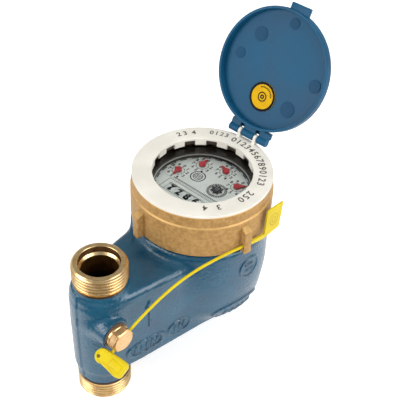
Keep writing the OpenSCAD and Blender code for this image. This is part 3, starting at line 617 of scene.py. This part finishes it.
star_plastic = surface("star_plastic", (44, 48, 50), (62, 66, 68), 300, 0.35, 2200, 0.02)
star_mesh = frame["nodes"]["star_wheel"].data.copy()
star_mesh.materials.clear()
star_mesh.materials.append(star_plastic)
star_middle = Vector(head_place(*star_at, 0) * 0.001)
for vert in star_mesh.vertices:
    from_middle = Vector((vert.co.x - star_middle.x, vert.co.y - star_middle.y))
    if vert.co.z > star_points_low and from_middle.length > star_arbor_r:
        vert.co.x = star_middle.x + star_draw * from_middle.x
        vert.co.y = star_middle.y + star_draw * from_middle.y
star_piece = bpy.data.objects.new("star_wheel_moulding", star_mesh)
scene.collection.objects.link(star_piece)
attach(star_piece, "star_turn")
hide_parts("star_wheel")
hub_shape = turned([(0, 114.5), (1.3, 114.5), (1.5, 114.3), (1.5, 114), (0, 114)], 32)
add_piece("star_hub", [hub_shape], steel, "star_turn", "dark_plastic",
          place=lambda points: head_place(*(points + (*star_at, 0)).T))

# Figure rollers: five white moulded drums on one axle, with the digits 0 to 9 printed round each in black.
# Each stands at its own digit in the window of the dial.
roller_shows = (4, 6, 8, 2, 7)
roller_row_u = -0.9
roller_pitch = 6.45
roller_half = 3.1
roller_r = 6.12
figure_r = 6.15
figure_size = 5.0
axle_r = 1.1
axle_v = -12.5
axle_z = 106.6
letter_shapes = {}


def letter(sign, size, bold=0.03):
    """Flat points and faces of a printed sign, centred, of the given height in mm, cut into rows to bend"""
    if (sign, bold) not in letter_shapes:
        curve = bpy.data.curves.new("sign", "FONT")
        curve.body = sign
        curve.align_x = "CENTER"
        curve.resolution_u = 3
        curve.offset = bold
        holder = bpy.data.objects.new("sign", curve)
        mesh = bpy.data.meshes.new_from_object(holder)
        build = bmesh.new()
        build.from_mesh(mesh)
        for row in np.linspace(0.05, 0.65, 9):
            whole = build.verts[:] + build.edges[:] + build.faces[:]
            bmesh.ops.bisect_plane(build, geom=whole, plane_co=(0, row, 0), plane_no=(0, 1, 0))
        build.to_mesh(mesh)
        build.free()
        digit_height = 0.7
        spots = np.array([v.co[:2] for v in mesh.vertices]) - (0, digit_height / 2)
        letter_shapes[sign, bold] = spots / digit_height, [tuple(p.vertices) for p in mesh.polygons]
        bpy.data.objects.remove(holder)
        bpy.data.curves.remove(curve)
        bpy.data.meshes.remove(mesh)
    spots, faces = letter_shapes[sign, bold]
    return spots * size, faces


black_ink = surface("black_ink", (16, 17, 18), (30, 31, 32), 400, 0.6, 2400, 0.004, shine=0.08)
roller_plastic = surface("roller_plastic", (226, 229, 226), (238, 240, 238), 240, 0.4, 2200, 0.01)
for index, shown in enumerate(roller_shows, 1):
    roller_u = roller_row_u + (3 - index) * roller_pitch
    drum, drum_faces = turned(rounded([
        (axle_r, -roller_half, 0), (roller_r, -roller_half, 0.15), (roller_r, roller_half, 0.15),
        (axle_r, roller_half, 0)]), 96)
    drum = head_place(roller_u + drum[:, 2], axle_v + drum[:, 0], axle_z + drum[:, 1])
    add_piece(f"roller_{index}_drum", [(drum, drum_faces)], roller_plastic, f"roller_{index}_turn",
              "roller_plastic", f"roller_{index}")
    figures = []
    for digit in range(10):
        spots, faces = letter(str(digit), figure_size, 0.05)
        turn = math.radians(36 * (digit - shown)) + spots[:, 1] / figure_r
        figures.append((head_place(roller_u + spots[:, 0], axle_v + figure_r * np.sin(turn),
                                   axle_z + figure_r * np.cos(turn)), faces))
    add_piece(f"roller_{index}_figures", figures, black_ink, f"roller_{index}_turn", "roller_plastic")

# Dial plate: a pale printed disc with the rollers' window and a raised rim. The print is generic: digits and
# ticks round each pointer, a frame round the window, a toothed ring under the star wheel and a plain stamp.
dial_print_z = 112.83
pointer_at = ((15.72, 14.66), (1.24, 21.46), (-13.93, 16.37), (-21.39, 2.21))
stamp_at = (-8.6, 6.2)
stamp_inner_r = 2.9
window_low = -16.6
window_high = -6.55
window_half = 19.4
dial_white = surface("dial_white", (232, 234, 229), (242, 243, 239), 90, 0.5, 1800, 0.01)
dress(dial_white, "dial_plate")


def flat_ring(inner, outer, first=0, last=360, steps=48):
    """Flat points and faces of a ring, or of a part of one between two angles"""
    turn = np.radians(np.linspace(first, last, steps + 1))
    spots = [np.stack([r * np.cos(turn), r * np.sin(turn)], axis=1) for r in (inner, outer)]
    return np.concatenate(spots), [(i, i + 1, steps + 2 + i, steps + 1 + i) for i in range(steps)]


def flat_box(low_u, low_v, high_u, high_v):
    """Flat points and face of a box"""
    return np.array([(low_u, low_v), (high_u, low_v), (high_u, high_v), (low_u, high_v)]), [(0, 1, 2, 3)]


def flat_spoke(turn, near, far, half_near, half_far):
    """Flat points and face of a mark that points away from its middle"""
    out, aside = np.array([(near, -half_near), (far, -half_far), (far, half_far), (near, half_near)]).T
    cos, sin = math.cos(turn), math.sin(turn)
    return np.stack([out * cos - aside * sin, out * sin + aside * cos], axis=1), [(0, 1, 2, 3)]


def on_dial(shape, u=0.0, v=0.0):
    """Flat shape printed on the dial with its middle at the given place"""
    spots, faces = shape
    return head_place(u + spots[:, 0], v + spots[:, 1], dial_print_z), faces


dark_parts = []
green_parts = []
for u, v in pointer_at:
    for digit in range(10):
        turn = math.pi / 2 - digit * math.pi / 5
        digit_at = (u + 6.0 * math.cos(turn), v + 6.0 * math.sin(turn))
        dark_parts.append(on_dial(letter(str(digit), 2.3), *digit_at))
        dark_parts.append(on_dial(flat_spoke(turn, 3.6, 4.5, 0.22, 0.22), u, v))
        for fine in range(1, 5):
            tick_turn = turn + fine * math.pi / 25
            green_parts.append(on_dial(flat_spoke(tick_turn, 3.6, 4.2, 0.12, 0.12), u, v))
for inner, outer in ((4.75, 5.0), (5.9, 6.1)):
    dark_parts.append(on_dial(flat_ring(inner, outer), *star_at))
for tooth in range(36):
    dark_parts.append(on_dial(flat_spoke(math.radians(10 * tooth), 4.9, 6.5, 0.27, 0.3), *star_at))
for low_v, high_v, half_u in (
        (-6.85, window_high, window_half), (-5.75, -5.6, 24), (window_low, -16.3, window_half)):
    dark_parts.append(on_dial(flat_box(-half_u, low_v, half_u, high_v), roller_row_u))
for side_u in (-window_half, window_half - 0.3):
    dark_parts.append(on_dial(flat_box(side_u, window_low, side_u + 0.3, window_high), roller_row_u))
for dash_u in range(-19, 19):
    dark_parts.append(on_dial(flat_box(dash_u, -4.9, dash_u + 0.6, -3.8)))
for inner, outer in ((4.3, 5.0), (stamp_inner_r, 3.3)):
    dark_parts.append(on_dial(flat_ring(inner, outer), *stamp_at))
for bar_v in (-1.7, -0.6, 0.6, 1.7):
    half_u = math.sqrt(stamp_inner_r ** 2 - bar_v ** 2)
    dark_parts.append(on_dial(flat_box(-half_u, bar_v - 0.24, half_u, bar_v + 0.24), *stamp_at))
for dash_turn in range(0, 360, 15):
    dark_parts.append(on_dial(flat_ring(28.6, 29.3, dash_turn, dash_turn + 9, 6)))
add_piece("dial_print", dark_parts, black_ink, "case", "dial_print")
green_ink = surface("green_ink", (58, 96, 78), (76, 112, 92), 400, 0.55, 2400, 0.004)
add_piece("dial_fine_ticks", green_parts, green_ink, "case", "dial_print")
rim_wall = turned([(29.55, 112.82), (30.25, 112.82), (30.25, 114.7), (29.55, 114.7)])
add_piece("dial_rim_wall", [rim_wall], case_plastic, "case", "dial_print", place=over_bowl)
rim_edge = turned(rounded(
    [(29.5, 114.65, 0.1), (30.3, 114.65, 0.1), (30.3, 115.25, 0.2), (29.5, 115.25, 0.2)]))
rim_plastic = surface("rim_plastic", (206, 206, 200), (222, 221, 216), 200, 0.35, 1800, 0.01)
add_piece("dial_rim_edge", [rim_edge], rim_plastic, "case", "dial_print", place=over_bowl)

# Sight glass with its gasket and slip ring: a thick pressed glass disc on a black rubber ring, held down over
# a black plastic ring that lets the head ring turn while it is tightened.
glass_r = 38.5
glass_low = 115.5
glass_top = 121.5
glass = bpy.data.materials.new("pressed_glass")
glass.use_nodes = True
glass_tree = glass.node_tree
glass_tree.nodes.remove(glass_tree.nodes["Principled BSDF"])
glass_place = add_node(glass_tree, "TexCoord")
glass_tint = add_node(glass_tree, "TexNoise", {"Scale": 60})
glass_ramp = add_node(glass_tree, "ValToRGB")
glass_ramp.color_ramp.elements[0].color = shade(251, 253, 252)
glass_ramp.color_ramp.elements[1].color = shade(253, 254, 254)
glass_clear = add_node(glass_tree, "BsdfTransparent")
glass_shine = add_node(glass_tree, "BsdfGlossy", {"Roughness": 0.03})
glass_edge = add_node(glass_tree, "Fresnel", {"IOR": 1.33})
glass_mix = add_node(glass_tree, "MixShader")
link(glass_tree, (glass_place, "Object", glass_tint, "Vector"), (glass_tint, 0, glass_ramp, 0),
     (glass_ramp, 0, glass_clear, "Color"), (glass_edge, 0, glass_mix, 0), (glass_clear, 0, glass_mix, 1),
     (glass_shine, 0, glass_mix, 2), (glass_mix, 0, glass_tree.nodes["Material Output"], "Surface"))
glass_side = rounded([(glass_r, glass_low, 0.5), (glass_r, glass_top, 0.8)])
glass_disc = turned([(0, glass_low)] + glass_side + [(0, glass_top)])
add_piece("sight_glass_disc", [glass_disc], glass, "case", "clear_glass", "sight_glass", place=over_bowl)
# Gasket: black rubber painted mid grey, lighter than its black, as painted light on its shaded top.
gasket_painted_light = surface("gasket_painted_light", (86, 80, 71), (100, 92, 82), 300, 0.75, 2600, 0.05)
# Slip ring: black plastic tinted brown, a painted reflection of the brass head ring round it.
slip_ring_painted_reflection = surface("slip_ring_painted_reflection", (52, 44, 36), (64, 55, 45), 300, 0.45, 2000, 0.03)
dress(gasket_painted_light, "glass_gasket")
dress(slip_ring_painted_reflection, "slip_ring")

# Head ring: a cast brass ring screwed on the bowl's mouth, sandy on its side, with turned edges at its step
# and its top that are painted lighter, partly as bare turned brass and partly as a painted highlight, and
# four wrench lugs whose tops are painted lighter as a highlight. The front lug is drilled for the seal.
ring_r = 43.6
ring_low = 96
ring_top = 125.4
ring_bore_r = 39.5
ring_lip_r = 33.4
ring_lip_low = 123
lug_out = 48
lug_half = 2.5
lug_edge = 0.5
front_lug_turn = math.radians(-99.9)
lug_hole_out = 45.5
lug_hole_z = 100.6


def capped(rows):
    """Points and faces of a run of like rings, closed at both ends"""
    count = len(rows[0])
    last = count * (len(rows) - 1)
    faces = [tuple(f) for f in grid_faces(len(rows), count) if max(f) - min(f) < 2 * count]
    return np.concatenate(rows), faces + [tuple(range(count)), tuple(range(last, last + count))]


def slab(outline, low_u, high_u, edge):
    """Plate of the given outline between two places across it, chamfered at both ends"""
    outline = np.asarray(outline, float)
    middle = outline.mean(axis=0)
    small = outline + (middle - outline) / np.linalg.norm(outline - middle, axis=1)[:, None] * edge
    return capped([np.column_stack([np.full(len(outline), u), shape]) for u, shape in (
        (low_u, small), (low_u + edge, outline), (high_u - edge, outline), (high_u, small))])


def drilled_plate(outline, hole, hole_r, half, edge, steps=96):
    """Upright plate (radius, height) with chamfered edges, drilled across at the given place"""
    turn = np.linspace(0, 2 * math.pi, steps, endpoint=False)
    ways = np.stack([np.cos(turn), np.sin(turn)], axis=1)
    outline = np.asarray(outline, float)
    reach = np.full(steps, 1e9)
    for a, b in zip(outline, np.roll(outline, -1, axis=0)):
        normal = np.array([b[1] - a[1], a[0] - b[0]]) / np.linalg.norm(b - a)
        slope = ways @ normal
        far = (a - hole) @ normal / np.where(slope > 1e-6, slope, 1e-6)
        reach = np.where(slope > 1e-6, np.minimum(reach, far), reach)
    hole_edge = 0.2
    bore = np.full(steps, hole_r)
    rows = []
    for far, across in (
            (bore, hole_edge - half), (bore + hole_edge, -half), (reach - edge, -half), (reach, edge - half),
            (reach, half - edge), (reach - edge, half), (bore + hole_edge, half), (bore, half - hole_edge)):
        spot = hole + far[:, None] * ways
        rows.append(np.stack([spot[:, 0], np.full(steps, across), spot[:, 1]], axis=1))
    return np.concatenate(rows), grid_faces(len(rows), steps)


cast_brass = surface(
    "cast_brass", (166, 126, 71), (191, 151, 92), 420, 0.58, 1300, 0.14, metal=0.35, spread=0.1)
# Lighter brass: partly bare turned brass and partly a painted highlight on the step and top edge; the lug
# tops get a painted highlight only.
edge_highlight_brass = surface("edge_highlight_brass", (190, 150, 90), (207, 169, 106), 300, 0.5, 2400, 0.01, metal=0.4)
ring_parts = [turned(rounded([
    (ring_bore_r, ring_low, 0.3), (ring_r, ring_low, 1.0), (ring_r, 117.3, 0.25), (42.75, 118.2, 0.25),
    (42.7, 124.7, 0.25), (42.1, ring_top, 0.25), (ring_lip_r, ring_top, 0.3), (ring_lip_r, ring_lip_low, 0.2),
    (ring_bore_r, ring_lip_low, 0.3)]), 180)]
lug_side = [(42, ring_low), (lug_out, ring_low), (lug_out, 111.9), (ring_r, 114.8), (42, 114.8)]
for lug in range(4):
    turn = front_lug_turn + lug * math.pi / 2
    if lug == 0:
        lug_hole_at = np.array((lug_hole_out, lug_hole_z))
        lug_points, lug_faces = drilled_plate(lug_side, lug_hole_at, 1.6, lug_half, lug_edge)
    else:
        lug_points, lug_faces = slab(lug_side, -lug_half, lug_half, lug_edge)
        lug_points = lug_points[:, [1, 0, 2]]
    spin = np.array([[math.cos(turn), math.sin(turn), 0], [-math.sin(turn), math.cos(turn), 0], [0, 0, 1]])
    ring_parts.append((lug_points @ spin, lug_faces))
ring_casting = add_piece(
    "head_ring_casting", ring_parts, cast_brass, "case", "cast_brass", "head_ring", place=over_bowl)
face_x, face_y, face_z = face_places(ring_casting)
face_out = np.hypot(face_x - head_x, face_y)
face_tilt = np.array([face.normal[2] for face in ring_casting.data.polygons])
on_step = (np.abs(face_z - 117.75) < 0.5) & (face_out < ring_r - 0.02)
on_top = (face_z > 124.75) & (face_out > 42)
on_lug_top = (face_out > ring_r + 0.1) & (face_tilt > 0.3)
refinish(ring_casting, on_step | on_top | on_lug_top, edge_highlight_brass)

# Cover ring: a white moulded ring on top of the head ring, with tabs that grip inside it and two ears for
# the lid. Generic digits are printed round it in dark grey.
cover_in = 30.5
cover_r = 42.75
cover_low = 125.42
cover_top = 127
tab_count = 14
tab_start = math.radians(90 + 17.7)
tab_turns = np.radians(np.linspace(-6.4, 6.4, 7))
hinge_v = 43.3
hinge_z = 130
ear_u = 6
ear_half = 1.1
white_plastic = surface("white_plastic", (213, 209, 198), (222, 218, 208), 70, 0.45, 1300, 0.03)
cover_parts = [turned(rounded([
    (cover_in, cover_low, 0.15), (cover_r, cover_low, 0.2), (cover_r, cover_top, 0.5),
    (cover_in, cover_top, 0.35)]), 180)]
tab_side = ((cover_in, 125.7), (cover_in, 122.1), (30.7, 121.9), (31.9, 121.9), (32.1, 122.1), (32.1, 125.7))
for tab in range(tab_count):
    cover_parts.append(capped([
        np.array([(r * math.cos(turn), r * math.sin(turn), z) for r, z in tab_side])
        for turn in tab_start + tab * 2 * math.pi / tab_count + tab_turns]))
ear_side = [(39.2, 125.6), (44.9, 125.6)] + arc(hinge_v, hinge_z, 2.3, -35, 170, 14)
ear_side += [(40.9, 128.6), (40.2, 127.5)]
for side in (-1, 1):
    cover_parts.append(slab(ear_side, side * ear_u - ear_half, side * ear_u + ear_half, 0.3))
add_piece("cover_ring_moulding", cover_parts, white_plastic, "case", "white_plastic", "cover_ring",
          place=lambda points: head_place(*points.T))
grey_ink = surface("grey_ink", (58, 52, 46), (80, 72, 64), 500, 0.6, 2400, 0.004)
print_parts = []
for digits, start, step, radius, size in (
        ("23", 155, 6.5, 37.4, 3.9), ("4", 140, 7, 37.2, 3.9), ("0123", 122.5, 5.0, 37.8, 3.7),
        ("01234567890123", 98.5, 5.9, 36.4, 4.4), ("250", 4, 6.6, 35, 4.4), ("3", -33.5, 6, 35.4, 4.2),
        ("4", -46.5, 6, 35.4, 4.2)):
    for k, sign in enumerate(digits):
        spots, faces = letter(sign, size, 0.018)
        turn = math.radians(start - k * step)
        out, way = radius + spots[:, 1], -spots[:, 0]
        print_parts.append((head_place(
            out * math.cos(turn) - way * math.sin(turn), out * math.sin(turn) + way * math.cos(turn),
            cover_top + 0.03), faces))
add_piece("cover_ring_print", print_parts, grey_ink, "case", "white_plastic")

# Lid: a shallow cap moulded in blue plastic, standing open on a steel pin. Its inside shows the rim, the
# round marks of the mould's ejector pins, three knuckles at the hinge and the thumb tab at the other side.
lid_turn = math.radians(-116.5)
lid_r = 38.3
lid_plate_low = 131.5
lid_top = 133.7
lid_rim_low = 127.3
knuckle_r = 2.5
knuckles = ((-4.5, 4.5), (7.5, 14.5), (-14.5, -7.5))


def block(low, high, edge):
    """Box between two corners with rounded edges"""
    build = bmesh.new()
    bmesh.ops.create_cube(build, size=1)
    middle = (np.array(low, float) + np.array(high, float)) / 2
    span = np.array(high, float) - np.array(low, float)
    for vert in build.verts:
        vert.co = Vector(middle + span * np.array(vert.co))
    bmesh.ops.bevel(build, geom=build.edges[:], offset=edge, segments=3, profile=0.5, affect="EDGES")
    build.verts.index_update()
    points = np.array([v.co[:] for v in build.verts])
    faces = [tuple(v.index for v in f.verts) for f in build.faces]
    build.free()
    return points, faces


def opened(points):
    """Points of the closed lid, swung open about the hinge and put in their place"""
    points = np.asarray(points, float)
    v = points[:, 1] - hinge_v
    z = points[:, 2] - hinge_z
    cos, sin = math.cos(lid_turn), math.sin(lid_turn)
    return head_place(points[:, 0], hinge_v + v * cos - z * sin, hinge_z + v * sin + z * cos)


lid_plastic = surface("lid_plastic", (10, 70, 102), (19, 79, 112), 45, 0.42, 1400, 0.03, shine=0.2)
lid_rim = rounded([(36.2, lid_plate_low, 0.7), (36.6, lid_rim_low, 0.3), (lid_r, lid_rim_low, 0.5),
                   (lid_r, lid_top, 2.2)], 5)
lid_parts = [turned([(0, lid_plate_low)] + lid_rim + [(0, lid_top)], 160)]
lid_parts.append(block((-3, -42.3, 128.3), (11, -36.3, 130.5), 0.5))
lid_parts.append(block((-7.5, 37, 132.7), (7.5, 41.1, lid_top), 0.2))
knuckle_side = arc(hinge_v, hinge_z, knuckle_r, -160, 90, 20)
knuckle_side += [(40, 132.3), (37.2, 132.5), (37.2, 129.3), (40.2, 129.3)]
for low_u, high_u in knuckles:
    lid_parts.append(slab(knuckle_side, low_u, high_u, 0.3))
    lid_parts.append(block((low_u, 37, 130), (high_u, 41.1, lid_top), 0.25))
add_piece("lid_moulding", lid_parts, lid_plastic, "lid_swing", "blue_plastic", "lid", place=opened)
mark_plastic = surface("mark_plastic", (6, 60, 92), (14, 69, 101), 45, 0.42, 1400, 0.02, shine=0.15)
mark_parts = []
for u, v, radius in (
        (-17.4, -16.6, 4.6), (2.2, -30.3, 3.3), (-27, -0.8, 3.4), (29.8, -1.4, 4), (18.2, 18.6, 4.8)):
    mark_points, mark_faces = turned([
        (0, 131.46), (radius - 0.5, 131.46), (radius - 0.3, 131.43), (radius, lid_plate_low), (radius, 131.6),
        (0, 131.6)], 40)
    mark_parts.append((mark_points + (u, v, 0), mark_faces))
add_piece("ejector_marks", mark_parts, mark_plastic, "lid_swing", "blue_plastic", place=opened)
dress(steel, "hinge_pin")

# Sticker inside the lid: a round yellow film pressed on the plate, printed in black with a border, two plain
# rings in its middle and a row of dashes.
sticker_at = (-1, 18.3, 0)
sticker_r = 9.2
sticker_print_z = 131.1
sticker_film = surface("sticker_film", (204, 156, 0), (213, 168, 2), 180, 0.45, 1800, 0.01, shine=0.1)
sticker_points, sticker_faces = turned([
    (0, 131.2), (9.1, 131.2), (sticker_r, 131.3), (sticker_r, lid_plate_low), (0, lid_plate_low)], 72)
add_piece("sticker", [(sticker_points + sticker_at, sticker_faces)], sticker_film, "lid_swing", "label_film",
          "lid_label", place=opened)
border_shapes = [flat_ring(inner, outer, steps=72) for inner, outer in ((7.7, 9.19), (2.4, 3.1), (0.6, 1.4))]
border_shapes += [flat_ring(5.7, 6.7, turn, turn + 5.5, 1) for turn in range(240, 348, 9)]
border_spots, border_faces = join(border_shapes)
border_points = np.column_stack([border_spots, np.full(len(border_spots), sticker_print_z)]) + sticker_at
add_piece("sticker_print", [(border_points, border_faces)], black_ink, "lid_swing", "label_film",
          place=opened)

# Adjusting plug: a turned brass hexagon with a round collar over the adjusting screw, sealed by a fibre
# washer. The seal's strap passes through it. Its face is chamfered and was faced off on the lathe.
plug_steps = 72
plug_collar_r = 7.5
plug_shank_r = 5
plug_in = 14
plug_seat = 22
plug_face = 28.5
plug_brass = surface("plug_brass", (226, 182, 126), (236, 196, 144), 220, 0.3, 2200, 0.02, metal=0.9)
fibre = surface("brown_fibre", (92, 68, 48), (114, 86, 60), 500, 0.7, 3000, 0.04)
plug_turn = np.linspace(0, 2 * math.pi, plug_steps, endpoint=False)
plug_flat = 7 / np.cos((plug_turn - math.radians(3)) % (math.pi / 3) - math.pi / 6)
plug_rows = [(plug_shank_r, plug_in), (plug_shank_r, plug_seat), (7.3, plug_seat), (plug_collar_r, 22.2),
             (plug_collar_r, 23.5), (7.2, 23.8), (plug_flat, 23.85)]
plug_rows += [(np.minimum(plug_flat, 8.15 - 0.35 * k), 27.4 + 0.22 * k) for k in range(5)]
plug_rows += [(6.45, plug_face), (0, plug_face), (0, plug_in)]
plug_points, plug_faces = turned(plug_rows, plug_steps)
plug_points = plug_points[:, [0, 2, 1]] * (1, -1, 1) + (boss_x, 0, boss_z)
add_piece("hexagon_plug", [(plug_points, plug_faces)], plug_brass, "case", "turned_brass", "adjusting_plug",
          crease=25)
dress(fibre, "plug_washer")
dress(bright_brass, "adjusting_screw")

# Seal: a yellow moulded strap with a flat flag at one end and a lock at the other. It runs from the lock
# through the plug's head, along the neck and through the front lug. Two plain rings are stamped on the flag.
strap_r = 0.9
strap_steps = 14
strap_slope = math.radians(33)
strap_run = np.array((math.cos(strap_slope), 0, math.sin(strap_slope)))
plug_mid = np.array((boss_x, -26.15, boss_z))
strap_pass = plug_mid - (0, 0, 1.3)
strap_in = strap_pass - 11 * strap_run
lug_hole = np.array((head_x + lug_hole_out * math.cos(front_lug_turn),
                     lug_hole_out * math.sin(front_lug_turn), lug_hole_z))
free_ends = (strap_pass + 7.5 * strap_run, plug_mid + (42.1, -1.7, 22.6), lug_hole + (-29.3, 8.9, -4.5),
             lug_hole)
yellow_plastic = surface("yellow_plastic", (203, 177, 2), (211, 189, 6), 90, 0.42, 1500, 0.03, shine=0.3)
share = np.linspace(0, 1, 61)[:, None]
free_run = ((1 - share) ** 3 * free_ends[0] + 3 * share * (1 - share) ** 2 * free_ends[1]
            + 3 * share ** 2 * (1 - share) * free_ends[2] + share ** 3 * free_ends[3])
strap_line = np.concatenate([[strap_in, strap_pass], free_run, [lug_hole + (4.1, -0.9, 0.2)]])
strap_way = np.gradient(strap_line, axis=0)
strap_way[:3] = strap_run
strap_way /= np.linalg.norm(strap_way, axis=1)[:, None]
strap_side = np.cross(strap_way, (0, 1, 0))
strap_side /= np.linalg.norm(strap_side, axis=1)[:, None]
strap_over = np.cross(strap_way, strap_side)
strap_around = np.linspace(0, 2 * math.pi, strap_steps, endpoint=False)[:, None]
strap = capped([middle + strap_r * (np.cos(strap_around) * a + np.sin(strap_around) * b)
                for middle, a, b in zip(strap_line, strap_side, strap_over)])
flag_outline = rounded([(3.2, -0.7, 0.4), (13.6, -3.0, 0.5), (28.3, -1.1, 0.8), (29.9, 17.7, 0.9),
                        (16.1, 17.7, 0.9), (15, 0.3, 0.6), (3.2, 1.9, 0.4)])
flag_points, flag_faces = slab(flag_outline, 0.5, 1.7, 0.25)
flag_points = flag_points[:, [1, 0, 2]] * (1, -1, 1) + lug_hole
add_piece("seal_strap_moulding", [strap, (flag_points, flag_faces)], yellow_plastic, "case", "yellow_plastic",
          "seal_strap")
stamp_spots, stamp_faces = join([flat_ring(inner, outer) for inner, outer in ((3.2, 3.6), (1.5, 1.8))])
stamp_points = np.stack([22.2 + stamp_spots[:, 0], np.full(len(stamp_spots), -1.73),
                         8.2 + 1.25 * stamp_spots[:, 1]], axis=1)
stamp_ink = surface("stamp_ink", (150, 128, 40), (172, 146, 46), 500, 0.6, 2400, 0.004)
add_piece("seal_flag_stamp", [(stamp_points + lug_hole, stamp_faces)], stamp_ink, "case", "yellow_plastic")
lock_half = 2.5
lock_side = rounded([(-4.4, 0, 0), (-4.7, -5, 3), (-5.5, -12.6, 2.5), (-4, -15, 1.5), (4, -15, 1.5),
                     (5.5, -12.6, 2.5), (4.7, -5, 3), (4.4, 0, 0)], 5)
lock_side += arc(-0.4, 1.2, 4.6, -12, 192, 22)
lock_points, lock_faces = slab(lock_side, -lock_half, lock_half, 0.9)
lock_parts = [(lock_points[:, [1, 2, 0]], lock_faces)]
lock_parts.append(block((-2.2, -12.4, 2.3), (2.2, -4.6, 2.8), 0.3))
lock_edge = np.asarray(lock_side, float)
lock_ways = lock_edge.mean(axis=0) - lock_edge
lock_ways /= np.linalg.norm(lock_ways, axis=1)[:, None]
border_rows = [np.column_stack([lock_edge + inset * lock_ways, np.full(len(lock_edge), height)])
               for inset, height in ((0.7, 2.3), (0.8, 2.9), (1.6, 2.9), (1.7, 2.3))]
lock_parts.append((np.concatenate(border_rows), grid_faces(len(border_rows), len(lock_edge))))
eye_points, eye_faces = turned([(0, -2.52), (1.1, -2.52), (1.1, 2.52), (0, 2.52)], 24)


def lock_place(points):
    """Points of the lock, turned to the strap and moved to its end"""
    points = np.asarray(points, float) + (-2, 1.8, 0)
    tip, lean = math.radians(15), -strap_slope
    y = points[:, 1] * math.cos(tip) - points[:, 2] * math.sin(tip)
    z = points[:, 1] * math.sin(tip) + points[:, 2] * math.cos(tip)
    x = points[:, 0] * math.cos(lean) + z * math.sin(lean)
    return np.stack([x, y, z * math.cos(lean) - points[:, 0] * math.sin(lean)], axis=1) + strap_in


hole_dark = surface("seal_hole_shadow", (96, 76, 10), (120, 96, 16), 300, 0.7, 2400, 0.01)
add_piece("seal_lock_hole", [(eye_points + (-1.7, 2.8, 0), eye_faces)], hole_dark, "case", "yellow_plastic",
          "seal_lock", place=lock_place)
add_piece("seal_lock_moulding", lock_parts, yellow_plastic, "case", "yellow_plastic", "seal_lock",
          place=lock_place)
